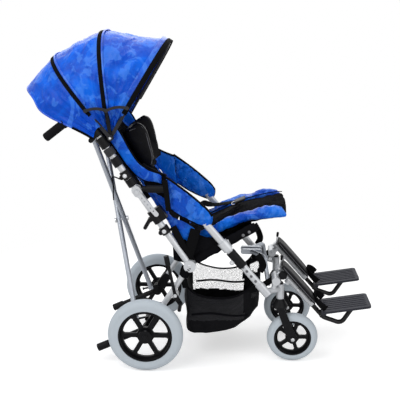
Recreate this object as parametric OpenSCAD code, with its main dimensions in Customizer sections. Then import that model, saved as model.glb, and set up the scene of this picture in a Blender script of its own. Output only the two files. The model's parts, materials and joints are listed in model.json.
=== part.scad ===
// Folding special needs stroller: two side frames joined by a crossed pair of rear struts and a front
// brace, with a sling seat, a padded back, a folding hood, leg rests with footplates, and a basket.
// X runs forward, Y to the stroller's left and Z up. Lengths are in millimetres.

/* [Wheels] */
// Outer diameter of a rear wheel
rear_wheel_d = 290; // [260:1:310]
// Width of a rear tyre
rear_tyre_w = 46; // [36:1:50]
// Distance between the middle planes of the rear wheels
rear_track = 540; // [530:1:600]
// Outer diameter of a front wheel
front_wheel_d = 200; // [180:1:206]
// Width of a front tyre
front_tyre_w = 40; // [32:1:44]
// Distance between the two caster swivel axes
caster_track = 324; // [300:1:340]
// Distance from the rear axle to the caster swivel axes
wheelbase = 517; // [500:1:560]
// Distance from a swivel axis to the axle of its front wheel
caster_offset = 52; // [40:1:60]

/* [Frame] */
// Diameter of the back tubes and seat rails
tube_d = 25; // [22:0.5:28]
// Distance between the middle planes of the two side frames
frame_w = 416; // [400:1:440]
// Distance between the two seat rails
rail_w = 362; // [350:1:366]
// Height of the joint where back tube, seat rail and rear leg meet
seat_z = 408; // [390:1:430]
// Distance of that joint in front of the rear axle
seat_x = 168; // [150:1:190]
// Slope of the back tube from the horizontal
back_angle = 56; // [50:1:66]
// Length of the back tube up to the corner of its handle bend
back_l = 712; // [660:1:780]
// Slope of the push handle below the horizontal
handle_angle = 37.5; // [20:0.5:50]
// Slope of the seat rail from the horizontal
rail_angle = 30.5; // [26:0.5:34]
// Length of the seat rail
rail_l = 294; // [270:1:310]
// Slope of the front leg from the horizontal
leg_angle = 49.5; // [46:0.5:54]
// Length of the front leg
leg_l = 460; // [440:1:480]
// Height of the lower end of the front leg
leg_foot_z = 303; // [296:1:312]
// Distance of that end in front of the rear axle
leg_foot_x = 459; // [450:1:466]

/* [Leg rests] */
// Distance between the middle planes of the two leg rests
legrest_w = 300; // [290:1:306]
// Slope of a leg rest below the horizontal
legrest_angle = 48.5; // [40:0.5:56]
// Length of a leg rest from its top to the end of the foot tube
legrest_l = 256; // [246:1:280]
// Length of a footplate
footplate_l = 190; // [160:1:205]
// Width of a footplate
footplate_w = 138; // [110:1:140]
// Slope of a footplate
footplate_angle = 9; // [0:1:15]

/* [Seat and hood] */
// Width of the seat cushion
seat_w = 332; // [300:1:334]
// Width of the back cushion
back_w = 364; // [330:1:368]
// Width of the hood at its bows
hood_w = 462; // [440:1:480]
// Height of the middle bow above its pivot
bow_h = 374; // [340:1:400]
// Width of the basket
basket_w = 376; // [330:1:380]

/* [Hidden] */
$fn = 48;

// Signs of the two sides
right = -1;
left = 1;
// Running clearance of a shaft in its bore, measured on the radius
run_gap = 0.05;
// Gap between pieces that are clamped together
fit_gap = 0.05;
// Gap between faces that slide or pass each other
pass_gap = 0.5;
// How far a cut runs past the face it opens
over = 1;
// How far a bend's skin stands proud of its tube, and how far the tube runs into the bend
bend_swell = 0.06;
bend_lap = 1;

// Places in the plane of a side frame, as [x, z] worked out from the driving sizes
side_y = frame_w / 2;
rail_y = rail_w / 2;
wheel_y = rear_track / 2;
caster_y = caster_track / 2;
legrest_y = legrest_w / 2;
rear_axle_z = rear_wheel_d / 2;
front_axle_x = wheelbase + caster_offset;
front_axle_z = front_wheel_d / 2;

// Back tube, measured up from the seat joint, with an offset towards the seat
function back_at(t, off = 0, y = 0) = [
    seat_x - cos(back_angle) * t + sin(back_angle) * off,
    y,
    seat_z + sin(back_angle) * t + cos(back_angle) * off
];
// Seat rail, measured forward from the seat joint, with an offset up
function rail_at(t, off = 0, y = 0) = [
    seat_x + cos(rail_angle) * t - sin(rail_angle) * off,
    y,
    seat_z + sin(rail_angle) * t + cos(rail_angle) * off
];
// Front leg, measured up from its foot, with an offset towards the front
function leg_at(t, off = 0, y = 0) = [
    leg_foot_x - cos(leg_angle) * t + sin(leg_angle) * off,
    y,
    leg_foot_z + sin(leg_angle) * t + cos(leg_angle) * off
];

// Handle bend and grip
cane_bend_r = 50;
cane_run = 76;
grip_l = 94;
grip_d = 33;
grip_end_wall = 5;
grip_collar_d = 38;
grip_collar_l = 8;
grip_groove = 1.2;
grip_groove_pitch = 7;
grip_grooves = 8;
grip_round_r = 6;
cane_corner = back_at(back_l);
grip_dir = [-cos(handle_angle), 0, -sin(handle_angle)];
grip_start = cane_corner + grip_dir * cane_run;

// Clamps and plastic fittings on the back tube, as distances up it
hood_clamp_t = 569;
hood_clamp_off = 34;
hood_clamp_l = 44;
ribbed_fitting_t = 528;
ribbed_fitting_l = 30;
ribbed_fitting_d = 36;
upper_collar_t = 484;
upper_collar_l = 36;
middle_collar_t = 424;
middle_collar_l = 34;
lower_collar_t = 390;
lower_collar_l = 30;
low_collar_t = 168;
low_collar_l = 30;
collar_d = 37;
fitting_rib = 1.5;
fitting_rib_pitch = 6;
strut_bracket_t = 610;
strut_bracket_l = 26;
hood_pivot_y = 204;
hood_pin_d = 6;
hood_pin_end_y = 221;

// Hinge bracket, adjusting bar and latch
hinge_t = 350;
hinge_cheek_w = 34;
hinge_cheek_l = 46;
hinge_cheek_t = 3;
bolt_head_d = 14;
bolt_head_h = 5;
bar_t0 = 240;
bar_w = 18;
bar_thickness = 3;
bar_off = 12;
bar_hole_d = 5;
bar_hole_pitch = 16;
bar_holes = 5;
latch_t = 232;
latch_l = 54;
latch_off = 22;
latch_w = 30;
latch_depth = 38;
lever_pin_d = 6;
lever_l = 30;
lever_thickness = 8;
lever_w = 16;
lever_pivot_off = -26.5;

// Front leg section, T-clamp, sliding cover and arm link
leg_depth = 28;
leg_thickness = 20;
clamp_wall = 6;
t_clamp_l = 40;
cover_t = 174;
cover_l = 76;
cover_wall = 4;
link_d = 22;
link_foam_d = 30;
link_z = 706;

// Seat joint, rear leg and axle bracket
seat_joint_d = 46;
seat_joint_core = 14;
rear_leg_d = 22;
axle_d = 12;
axle_boss_d = 40;
axle_head_d = 20;
axle_head_h = 5;
bracket_y0 = 190;
bracket_y1 = 240;
strut_d = 20;
strut_plane_off = 11;
strut_foot_x = -36;
strut_foot_z = 168;
strut_y = 168;
strut_lug_d = 20;
strut_head_gap = 3;
strut_slack = 4;
strut_head_z = 888;
strut_head_x = -204;
strut_pin_d = 8;
strut_pin_back = 22;
strut_pin_front = 36;
bracket_share = 0.23;
tip_tube_d = 22;
tip_end_x = -176;
tip_end_z = 66;
tip_y = 204;
tip_rubber_d = 30;
tip_rubber_l = 46;

// Wheel lock
lock_x = 112;
lock_z = 292;
lock_pin_d = 8;
lock_handle_l = 128;
lock_handle_d = 12;
lock_knob_d = 20;
lock_knob_l = 34;
lock_shoe_d = 14;
lock_shoe_drop = 34;
lock_shoe_ahead = 20;
lock_lean = 26;
lock_boss_d = 28;
lock_inset = 0.6;
lock_arm_t = 6;

// Tyres and rims
rear_rim_d = 208;
rear_rim_wall = 11;
rear_rim_w = 38;
rear_web_t = 12;
rear_hub_d = 52;
rear_hub_w = 50;
rear_spokes = 6;
rear_spoke_w = 17;
front_rim_d = 146;
front_rim_wall = 10;
front_rim_w = 32;
front_web_t = 10;
front_hub_d = 40;
front_hub_w = 42;
front_spokes = 5;
front_spoke_w = 14;
window_round = 7;

// Caster head and fork
head_tube_d = 30;
head_tube_z0 = 262;
head_tube_z1 = 322;
stem_d = 12;
stem_head_d = 22;
stem_head_h = 6;
crown_d = 62;
crown_h = 14;
crown_z = 246;
blade_t = 7;
blade_gap = 4;
blade_w = 30;
blade_foot_w = 38;
front_axle_d = 8;
foot_tube_d = 25;
knee_x = 498;
knee_z = 346;
knee_pin_d = 10;
knee_post_d = 20;
post_share = 0.5;
knee_barrel_d = 32;
knee_barrel_l = 34;

// Leg rest
rest_tube_d = 25;
foot_tube_bore_d = 18;
rest_sleeve_l = 206;
foot_tube_in = 96;
stub_d = 24;
rest_off = 34;
stub_low_t = 72;
stub_low_off = 20;
calf_pad_l = 196;
calf_pad_w = 104;
calf_pad_t = 22;
calf_pad_off = 13;
foot_bend_r = 24;
foot_reach = 20;
foot_low_share = 0.6;
foot_plate_share = 0.7;
foot_bent_d = 18;
plate_thickness = 9;
plate_round = 14;
plate_rib_h = 1.6;
plate_ribs = 6;
plate_rib_w = 5;
plate_hinge_d = 16;
plate_pin_d = 8;

// Front brace under the seat
brace_foot_x = 470;
brace_foot_y = 168;
brace_foot_z = 318;
brace_hub_x = 406;
brace_hub_z = 404;
brace_hub_gap = 24;
brace_tube_d = 18;
brace_plate_l = 86;
brace_plate_h = 20;
brace_plate_t = 14;
brace_eye_d = 28;
brace_pin_d = 8;
brace_lug_d = 15;
brace_lug_share = 0.55;
brace_knee_share = 0.45;
brace_pin_x = 457;

// Cushions, as [x, z] points of the curve that each follows and as thicknesses
seat_t = 46;
seat_bolster = 22;
seat_rear = [seat_x - 14, seat_z + 62];
seat_rear_pull = [seat_x + 92, seat_z + 112];
seat_front_pull = [seat_x + 226, seat_z + 196];
seat_front = [seat_x + 362, seat_z + 190];
seat_round_share = 0.3;
seat_step_share = 0.01;
bolster_share = 0.62;

// Shares that shape the cushions: how far the edges round over, and how much the ends are drawn in
pad_end_share = 0.12;
pad_side_share = 0.2;
pad_across_share = 0.16;
pad_drawn_share = 0.94;
calf_edge_share = 0.45;
seat_under_share = 0.5;
back_end_share = 0.1;
back_drawn_share = 0.95;
wing_rise_share = 1.4;
wing_low_share = 0.3;
wing_end_share = 0.25;
wing_middle_share = 0.5;
wing_thick_share = 0.35;
sling_t = 3;
sling_drop = 16;
sling_rows = 4;
sling_columns = 12;
back_t0 = 132;
back_t1 = 648;
back_rear_off = 15;
back_pad_t = 24;
back_bolster = 46;
head_t0 = 404;
head_t1 = 562;
head_off = 44;
head_depth = 90;
head_w = 224;
head_wall = 30;
head_round = 13;
arm_pad_t = 37;
arm_pad_y = 208;
cushion_rows = 18;
cushion_columns = 16;

// Basket
basket_wall = 3;
basket_rear_x = 156;
basket_front_x = 440;
basket_rear_rim_z = 352;
basket_front_rim_z = 392;
basket_floor_z = 112;
basket_front_floor_z = 226;
basket_flat_share = 0.42;
basket_rim_share = 1.4;
basket_end_power = 14;
basket_side_power = 12;
basket_rows = 18;
basket_columns = 14;

// Hood
front_bow_angle = 59;
middle_bow_angle = 97;
rear_bow_angle = 130;
hem_angle = 156;
front_bow_share = 1.05;
middle_bow_share = 1;
rear_bow_share = 0.972;
hem_share = 1;
hood_sag = 9;
hood_sag_angle = 15;
arch_power = 2.8;
bow_d = 12;
bow_sides = 8;
bow_steps = 26;
bow_eye_d = 22;
bow_eye_t = 5;
hood_wall = 3;
hood_gap = 2.5;
bow_foot_share = 0.035;
hood_foot_share = 0.09;
hood_rows = 18;
hood_columns = 26;
link_pin_h = 132;
link_eye_d = 14;
link_arm_w = 10;
link_arm_t = 4;
link_arch = 8;
link_y_rear = 238;
link_y_front = 243;
link_pin_y = 234;
front_eye_y = hood_pivot_y + pass_gap;
middle_eye_y = front_eye_y + bow_eye_t + pass_gap;
rear_eye_y = middle_eye_y + bow_eye_t + pass_gap;
bow_eye_reach_share = 1.04;
link_cut_share = 1.5;
curve_step_share = 0.002;
link_pin_d = 8;

// Middle of the whole length, which the origin stands under
object_front_x = 864;
object_back_x = -460;
x_mid = (object_front_x + object_back_x) / 2;

function unit(v) = v / norm(v);
function mix(a, b, u) = a + (b - a) * u;
function bezier(a, b, c, d, u) =
    a * pow(1 - u, 3) + 3 * b * u * pow(1 - u, 2) + 3 * c * u * u * (1 - u) + d * pow(u, 3);
// Smooth step from 0 to 1
function smooth(u) = let (w = max(0, min(1, u))) w * w * (3 - 2 * w);
// Fullness of a pillow from its edge at 0 and 1 to its middle
function crown(u, rim) = pow(max(0, 1 - pow(abs(2 * u - 1), 1 / rim)), 0.5);
function flat(list) = [for (row = list) for (p = row) p];

// Stands what follows at a point, with its Z along a direction
module along(a, dir) {
    translate(a)
        rotate([0, acos(dir.z / norm(dir)), atan2(dir.y, dir.x)])
            children();
}

module rod(a, b, d) {
    along(a, b - a)
        cylinder(h = norm(b - a), d = d);
}

// Length that a bend of radius r takes off each of its two legs
function bend_cut(p, q, s, r) = r / tan(acos(unit(p - q) * unit(s - q)) / 2);

module elbow(p, q, s, r, d) {
    u = unit(p - q);
    v = unit(s - q);
    inward = unit(v - (u * v) * u);
    centre = q + u * bend_cut(p, q, s, r) + inward * r;
    third = cross(inward, u);
    multmatrix([
        [-inward.x, -u.x, third.x, centre.x],
        [-inward.y, -u.y, third.y, centre.y],
        [-inward.z, -u.z, third.z, centre.z],
        [0, 0, 0, 1]
    ])
        rotate_extrude(angle = 180 - acos(u * v))
            translate([r, 0])
                circle(r = d / 2 + bend_swell);
}

// Tube of diameter d through points, with every corner bent to radius r
module bent_tube(points, r, d) {
    last = len(points) - 1;
    cuts = [
        for (i = [0:last])
            i == 0 || i == last ? 0 : bend_cut(points[i - 1], points[i], points[i + 1], r)
    ];
    for (i = [0:last - 1]) {
        v = unit(points[i + 1] - points[i]);
        rod(points[i] + v * (cuts[i] == 0 ? 0 : cuts[i] - bend_lap),
            points[i + 1] - v * (cuts[i + 1] == 0 ? 0 : cuts[i + 1] - bend_lap), d);
    }
    for (i = [1:last - 1])
        elbow(points[i - 1], points[i], points[i + 1], r, d);
}

// Closed solid between two grids of points that have the same rows and columns
module quilt(front, back) {
    rows = len(front);
    columns = len(front[0]);
    count = rows * columns;
    function f(i, j) = i * columns + j;
    function b(i, j) = count + i * columns + j;
    faces = concat(
        [for (i = [0:rows - 2]) for (j = [0:columns - 2]) [f(i, j), f(i, j + 1), f(i + 1, j + 1)]],
        [for (i = [0:rows - 2]) for (j = [0:columns - 2]) [f(i, j), f(i + 1, j + 1), f(i + 1, j)]],
        [for (i = [0:rows - 2]) for (j = [0:columns - 2]) [b(i, j), b(i + 1, j + 1), b(i, j + 1)]],
        [for (i = [0:rows - 2]) for (j = [0:columns - 2]) [b(i, j), b(i + 1, j), b(i + 1, j + 1)]],
        [for (i = [0:rows - 2]) for (e = [0, columns - 1])
            e == 0 ? [f(i, e), f(i + 1, e), b(i + 1, e)] : [f(i, e), b(i + 1, e), f(i + 1, e)]],
        [for (i = [0:rows - 2]) for (e = [0, columns - 1])
            e == 0 ? [f(i, e), b(i + 1, e), b(i, e)] : [f(i, e), b(i, e), b(i + 1, e)]],
        [for (j = [0:columns - 2]) for (e = [0, rows - 1])
            e == 0 ? [f(e, j), b(e, j + 1), f(e, j + 1)] : [f(e, j), f(e, j + 1), b(e, j + 1)]],
        [for (j = [0:columns - 2]) for (e = [0, rows - 1])
            e == 0 ? [f(e, j), b(e, j), b(e, j + 1)] : [f(e, j), b(e, j + 1), b(e, j)]]
    );
    polyhedron(points = concat(flat(front), flat(back)), faces = faces, convexity = 6);
}

// Bar with round ends between two points of a plane
module slot_bar(p, q, w) {
    v = q - p;
    translate(p)
        rotate(atan2(v.y, v.x))
            translate([0, -w / 2])
                square([norm(v), w]);
    translate(p)
        circle(d = w);
    translate(q)
        circle(d = w);
}

// Draws a plane shape in [x, z] between two values of y
module side_plate(y0, y1) {
    translate([0, y1, 0])
        rotate([90, 0, 0])
            linear_extrude(y1 - y0)
                children();
}

module pin_y(x, z, y0, y1, d) {
    translate([x, y0, z])
        rotate([-90, 0, 0])
            cylinder(h = y1 - y0, d = d);
}

// Moves a side piece, drawn on the left, to its side, and the origin under the middle of the object
module placed(side) {
    translate([-x_mid, 0, 0])
        mirror([0, side == right ? 1 : 0, 0])
            children();
}

// Flat oval section of the front leg, grown by a gap
module leg_section(gap) {
    w = leg_depth + 2 * gap;
    t = leg_thickness + 2 * gap;
    slot_bar([0, -(w - t) / 2], [0, (w - t) / 2], t);
}

// The front leg's run between two distances from its foot
module leg_run(t0, t1, gap) {
    translate(leg_at(t0, 0, side_y))
        rotate([0, leg_angle - 90, 0])
            linear_extrude(t1 - t0)
                rotate(90)
                    leg_section(gap);
}

module push_tube() {
    color("gainsboro")
        bent_tube([
            back_at(seat_joint_core, 0, side_y),
            cane_corner + [0, side_y, 0],
            grip_start + grip_dir * (grip_l - grip_end_wall) + [0, side_y, 0]
        ], cane_bend_r, tube_d);
}

module push_grip() {
    bore_r = tube_d / 2 + fit_gap;
    grip_r = grip_d / 2;
    groove_r = grip_r - grip_groove;
    first = grip_collar_l + grip_groove_pitch;
    color("dimgray")
        along(grip_start + [0, side_y, 0], grip_dir)
            rotate_extrude()
                difference() {
                    union() {
                        square([grip_r, grip_l - grip_round_r]);
                        square([grip_r - grip_round_r, grip_l]);
                        translate([grip_r - grip_round_r, grip_l - grip_round_r])
                            circle(r = grip_round_r);
                        square([grip_collar_d / 2, grip_collar_l]);
                    }
                    translate([-grip_d, 0])
                        square([grip_d, grip_l]);
                    translate([0, -over])
                        square([bore_r, grip_l - grip_end_wall + fit_gap + over]);
                    for (i = [0:grip_grooves - 1])
                        translate([groove_r, first + i * grip_groove_pitch])
                            square([grip_d, grip_groove]);
                }
}

// Ring clamped round the back tube, with its middle at a distance t up it
module back_ring(t, length, d) {
    along(back_at(t - length / 2, 0, side_y), back_at(1) - back_at(0))
        difference() {
            cylinder(h = length, d = d);
            tube_bore(length);
        }
}

module tube_bore(length) {
    translate([0, 0, -over])
        cylinder(h = length + 2 * over, d = tube_d + 2 * fit_gap);
}

// Cuts the back tube out of a fitting that reaches from t0 to t1 along it
module clear_of_tube(t0, t1) {
    difference() {
        children();
        along(back_at(t0, 0, side_y), back_at(1) - back_at(0))
            cylinder(h = t1 - t0, d = tube_d + 2 * fit_gap);
    }
}

// Ribbed grey fitting below the hood's clamp
module ribbed_fitting() {
    ribs = floor(ribbed_fitting_l / fitting_rib_pitch);
    r = ribbed_fitting_d / 2;
    along(back_at(ribbed_fitting_t - ribbed_fitting_l / 2, 0, side_y), back_at(1) - back_at(0))
        rotate_extrude()
            difference() {
                translate([tube_d / 2 + fit_gap, 0])
                    square([r - tube_d / 2 - fit_gap, ribbed_fitting_l]);
                for (i = [1:ribs - 1])
                    translate([r - fitting_rib, i * fitting_rib_pitch])
                        square([r, fitting_rib]);
            }
}

// Clamp that carries the hood's pivot in front of the back tube
module hood_clamp() {
    pivot = back_at(hood_clamp_t, hood_clamp_off);
    centre = back_at(hood_clamp_t);
    clear_of_tube(hood_clamp_t - hood_clamp_l, hood_clamp_t + hood_clamp_l)
        union() {
            along(back_at(hood_clamp_t - hood_clamp_l / 2, 0, side_y), back_at(1) - back_at(0))
                cylinder(h = hood_clamp_l, d = collar_d);
            side_plate(hood_pivot_y - 2 * bow_eye_t, hood_pivot_y)
                slot_bar([centre.x, centre.z], [pivot.x, pivot.z], bow_eye_d);
            pin_y(pivot.x, pivot.z, hood_pivot_y - over, hood_pin_end_y, hood_pin_d);
        }
}

module fittings() {
    color("dimgray") {
        hood_clamp();
        ribbed_fitting();
        back_ring(upper_collar_t, upper_collar_l, collar_d);
        eared_ring(middle_collar_t, middle_collar_l);
        back_ring(lower_collar_t, lower_collar_l, collar_d);
        eared_ring(low_collar_t, low_collar_l);
        latch_body();
        leg_cover();
        arm_link();
        strut_head_bracket();
    }
}

// Collar with a clamping ear behind it
module eared_ring(t, length) {
    p = back_at(t, -collar_d / 2);
    q = back_at(t);
    clear_of_tube(t - length, t + length)
        union() {
            along(back_at(t - length / 2, 0, side_y), back_at(1) - back_at(0))
                cylinder(h = length, d = collar_d);
            side_plate(side_y - latch_w / 4, side_y + latch_w / 4)
                slot_bar([q.x, q.z], [p.x, p.z], bar_w);
        }
}

// Housing of the fold latch on its collar, with the ears that hold its lever's pin
module latch_body() {
    c = back_at(latch_t, lever_pivot_off);
    d = back_at(latch_t);
    ear_t = (latch_w - lever_w) / 2 - pass_gap - over;
    clear_of_tube(latch_t - latch_l, latch_t + latch_l)
        union() {
            along(back_at(latch_t - latch_l / 2, 0, side_y), back_at(1) - back_at(0)) {
                cylinder(h = latch_l, d = collar_d);
                translate([-latch_depth, -latch_w / 2, 0])
                    cube([latch_depth, latch_w, latch_l]);
            }
            for (y = [side_y - latch_w / 2 + over, side_y + latch_w / 2 - over - ear_t])
                side_plate(y, y + ear_t)
                    slot_bar([d.x, d.z], [c.x, c.z], lever_w);
            pin_y(c.x, c.z, side_y - latch_w / 2 + 2 * over, side_y + latch_w / 2 - 2 * over, lever_pin_d);
        }
}

// Padded black cover round the front leg below its T-clamp
module leg_cover() {
    difference() {
        leg_run(cover_t - cover_l / 2, cover_t + cover_l / 2, cover_wall);
        leg_run(cover_t - cover_l, cover_t + cover_l, fit_gap);
    }
}

// Foam-covered tube that ties the back tube to the front leg at arm height
module arm_link() {
    rear = back_at((link_z - seat_z) / sin(back_angle));
    x0 = rear.x + tube_d / 2 / sin(back_angle) + link_d / 2 / tan(back_angle) + fit_gap;
    x1 = leg_at(arm_pad_top.x, arm_pad_top.y).x;
    rod([x0, side_y, link_z], [x1, side_y, link_z], link_d);
    rod([x0 + collar_d / 2, side_y, link_z], [x1 - over, side_y, link_z], link_foam_d);
}

// Bracket behind the back tube with the knob that holds the head of a rear strut
module strut_head_bracket() {
    p = back_at(strut_bracket_t);
    clear_of_tube(strut_bracket_t - hood_clamp_l, strut_bracket_t + hood_clamp_l)
        union() {
            along(back_at(strut_bracket_t - strut_bracket_l / 2, 0, side_y), back_at(1) - back_at(0))
                cylinder(h = strut_bracket_l, d = collar_d);
            side_plate(side_y - latch_w / 4, side_y + latch_w / 4)
                slot_bar([p.x, p.z], [strut_head_x + collar_d / 4, strut_head_z], bar_w);
            pin_y(strut_head_x + collar_d / 4, strut_head_z, strut_y + strut_d / 2 + strut_head_gap,
                side_y, bolt_head_d);
        }
}

module latch_bar() {
    p = back_at(hinge_t);
    bar_low = back_at(bar_t0, bar_off);
    cheek_a = back_at(hinge_t - hinge_cheek_l / 2 + hinge_cheek_w / 2, 0);
    cheek_b = back_at(hinge_t + hinge_cheek_l / 2 - hinge_cheek_w / 2, 0);
    cheek_y = tube_d / 2 + fit_gap;
    bar_y = side_y + collar_d / 2 + fit_gap;
    color("silver") {
        for (y = [side_y - cheek_y - hinge_cheek_t, side_y + cheek_y])
            side_plate(y, y + hinge_cheek_t)
                slot_bar([cheek_a.x, cheek_a.z], [cheek_b.x, cheek_b.z], hinge_cheek_w);
        pin_y(p.x, p.z, side_y + cheek_y + over, bar_y + bar_thickness + bolt_head_h, bolt_head_d);
        difference() {
            side_plate(bar_y, bar_y + bar_thickness)
                slot_bar([bar_low.x, bar_low.z], [p.x, p.z], bar_w);
            for (i = [1:bar_holes]) {
                h = back_at(hinge_t - bolt_head_d - i * bar_hole_pitch, bar_off * i / (bar_holes + 1));
                pin_y(h.x, h.z, bar_y - over, bar_y + bar_thickness + over, bar_hole_d);
            }
        }
    }
}

module latch_lever() {
    c = back_at(latch_t, lever_pivot_off);
    tip = back_at(latch_t - lever_l / 2, lever_pivot_off - lever_l);
    color("black")
        difference() {
            side_plate(side_y - lever_w / 2, side_y + lever_w / 2)
                slot_bar([c.x, c.z], [tip.x, tip.z], lever_thickness + lever_pin_d);
            pin_y(c.x, c.z, side_y - lever_w, side_y + lever_w, lever_pin_d + 2 * run_gap);
        }
}

module front_leg() {
    color("gainsboro")
        leg_run(seat_joint_core, leg_l, 0);
}

module frame_brackets() {
    cross_x = (leg_foot_z - seat_z + tan(rail_angle) * seat_x + tan(leg_angle) * leg_foot_x)
        / (tan(rail_angle) + tan(leg_angle));
    cross_t = (leg_foot_x - cross_x) / cos(leg_angle);
    mid = leg_at(cross_t);
    color("silver")
        difference() {
            union() {
                leg_run(cross_t - t_clamp_l / 2, cross_t + t_clamp_l / 2, clamp_wall);
                rod(mid + [0, rail_y, 0] - [cos(rail_angle), 0, sin(rail_angle)] * t_clamp_l / 2,
                    mid + [0, rail_y, 0] + [cos(rail_angle), 0, sin(rail_angle)] * t_clamp_l / 2,
                    tube_d + 2 * clamp_wall);
            }
            leg_run(cross_t - t_clamp_l, cross_t + t_clamp_l, fit_gap);
            rod(rail_at(0, 0, rail_y), rail_at(rail_l, 0, rail_y), tube_d + 2 * fit_gap);
        }
    color("silver")
        difference() {
            pin_y(seat_x, seat_z, rail_y - tube_d / 2, side_y + tube_d / 2 + clamp_wall, seat_joint_d);
            rod(back_at(seat_joint_core - fit_gap, 0, side_y), back_at(seat_joint_d, 0, side_y),
                tube_d + 2 * fit_gap);
            rod(rail_at(seat_joint_core - fit_gap, 0, rail_y), rail_at(seat_joint_d, 0, rail_y),
                tube_d + 2 * fit_gap);
            rear_leg_run(fit_gap);
        }
}

// The rear leg's tube, grown by a gap
module rear_leg_run(gap) {
    top = [seat_x, side_y, seat_z];
    foot = [0, side_y, rear_axle_z];
    dir = unit(top - foot);
    rod(top - dir * (seat_joint_core - gap), foot + dir * (seat_joint_core - gap), rear_leg_d + 2 * gap);
}

module rear_leg() {
    color("gainsboro")
        rear_leg_run(0);
    lock_bracket();
}

// Boss on the rear leg that carries the wheel lock's pin
module lock_bracket() {
    y1 = side_y + collar_d / 2;
    head_y = y1 + lock_arm_t + 2 * pass_gap;
    color("black") {
        pin_y(lock_x, lock_z, side_y - lock_arm_t, y1, lock_boss_d);
        pin_y(lock_x, lock_z, y1 - over, head_y, lock_pin_d);
        pin_y(lock_x, lock_z, head_y, head_y + 2 * over, bolt_head_d);
    }
}

module axle_bracket() {
    end_y = wheel_y + rear_hub_w / 2 + pass_gap;
    n = strut_normal();
    strut_foot = [strut_foot_x, strut_y, strut_foot_z];
    lug = strut_foot + n * strut_pin_front;
    tip = [tip_end_x, tip_y, tip_end_z];
    tip_start = [0, tip_y, rear_axle_z];
    tip_dir = unit(tip - tip_start);
    color("black")
        difference() {
            union() {
                pin_y(0, rear_axle_z, bracket_y0, bracket_y1, axle_boss_d);
                side_plate(bracket_y0 + over, side_y + collar_d / 2)
                    slot_bar([0, rear_axle_z], mix([0, rear_axle_z], [seat_x, seat_z], bracket_share),
                        collar_d);
                rod(tip_start, tip, tip_tube_d);
                rod(tip - tip_dir * (tip_rubber_l - tip_tube_d), tip + tip_dir * tip_tube_d,
                    tip_rubber_d);
                pin_y(lug.x, lug.z, strut_y - strut_lug_d / 2, bracket_y0 + 2 * over, strut_lug_d);
                along(strut_foot - n * strut_pin_back, n)
                    cylinder(h = strut_pin_back + strut_pin_front, d = strut_pin_d);
                along(strut_foot - n * (strut_pin_back + clamp_wall / 2), n)
                    cylinder(h = clamp_wall / 2, d = bolt_head_d);
                pin_y(0, rear_axle_z, bracket_y1 - over, end_y + over, axle_d);
                pin_y(0, rear_axle_z, end_y, end_y + axle_head_h, axle_head_d);
            }
            rear_leg_run(fit_gap);
        }
}

module brake_lever() {
    top = [lock_x - lock_lean, lock_z + lock_handle_l];
    shoe = [lock_x + lock_shoe_ahead, lock_z - lock_shoe_drop];
    y0 = side_y + collar_d / 2 + pass_gap;
    y1 = y0 + lock_arm_t;
    knob = [top.x, y0 + lock_knob_d / 2 + pass_gap, top.y];
    knob_dir = unit([-lock_lean, 0, lock_handle_l]);
    color("black")
        difference() {
            union() {
                side_plate(y0 + lock_inset, y1 - lock_inset)
                    slot_bar([lock_x, lock_z], top, lock_handle_d);
                side_plate(y0, y1)
                    slot_bar([lock_x, lock_z], shoe, lock_handle_d + lock_arm_t);
                pin_y(shoe.x, shoe.y, y0 + lock_inset, wheel_y + rear_tyre_w / 2, lock_shoe_d);
                rod(knob - knob_dir * lock_arm_t / 2, knob + knob_dir * lock_knob_l, lock_knob_d);
            }
            pin_y(lock_x, lock_z, y0 - over, y1 + over, lock_pin_d + 2 * run_gap);
        }
}

module seat_rail() {
    color("black") {
        rod(rail_at(seat_joint_core, 0, rail_y), rail_at(rail_l, 0, rail_y), tube_d);
        rod(rail_at(rail_l, 0, rail_y), rail_at(rail_l + clamp_wall, 0, rail_y), tube_d + 2 * fitting_rib);
    }
}

// Corners of an arm pad in the side view, as [distance up the leg, offset]
arm_pad_top = [592, 0];
arm_pad_front = [356, 36];
arm_pad_low = [340, -1];
arm_pad_rear = [490, -70];
arm_pad_end_share = 0.6;
arm_pad_edge_share = 0.3;
arm_pad_round_share = 0.18;
arm_pad_crown_share = 0.3;

module armrest_pad() {
    columns = cushion_rows / 2;
    function pad(side) = [
        for (i = [0:cushion_rows]) let (u = i / cushion_rows) [
            for (j = [0:columns]) let (
                reach = mix(arm_pad_end_share, 1, crown(u, arm_pad_round_share)),
                v = 0.5 + (j / columns - 0.5) * reach,
                p = mix(mix(arm_pad_low, arm_pad_rear, u), mix(arm_pad_front, arm_pad_top, u), v),
                full = crown(u, arm_pad_crown_share) * crown(j / columns, arm_pad_crown_share),
                puff = arm_pad_t / 2 * mix(arm_pad_edge_share, 1, full)
            ) leg_at(p.x, p.y, side_y + side * puff)
        ]
    ];
    color("royalblue")
        difference() {
            quilt(pad(1), pad(-1));
            leg_run(arm_pad_low.x - leg_depth, leg_l + pass_gap, fit_gap);
        }
}

// Rubber tyre round a rim, standing on the plane y = 0
module tyre(d, w, rim_d) {
    r = d / 2;
    seat = rim_d / 2 + fit_gap;
    rotate([90, 0, 0])
        rotate_extrude($fn = 96)
            difference() {
                union() {
                    translate([r - w / 2, 0])
                        circle(d = w);
                    translate([seat, -w / 2])
                        square([r - w / 2 - seat, w]);
                }
                translate([0, -w])
                    square([seat, 2 * w]);
            }
}

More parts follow.
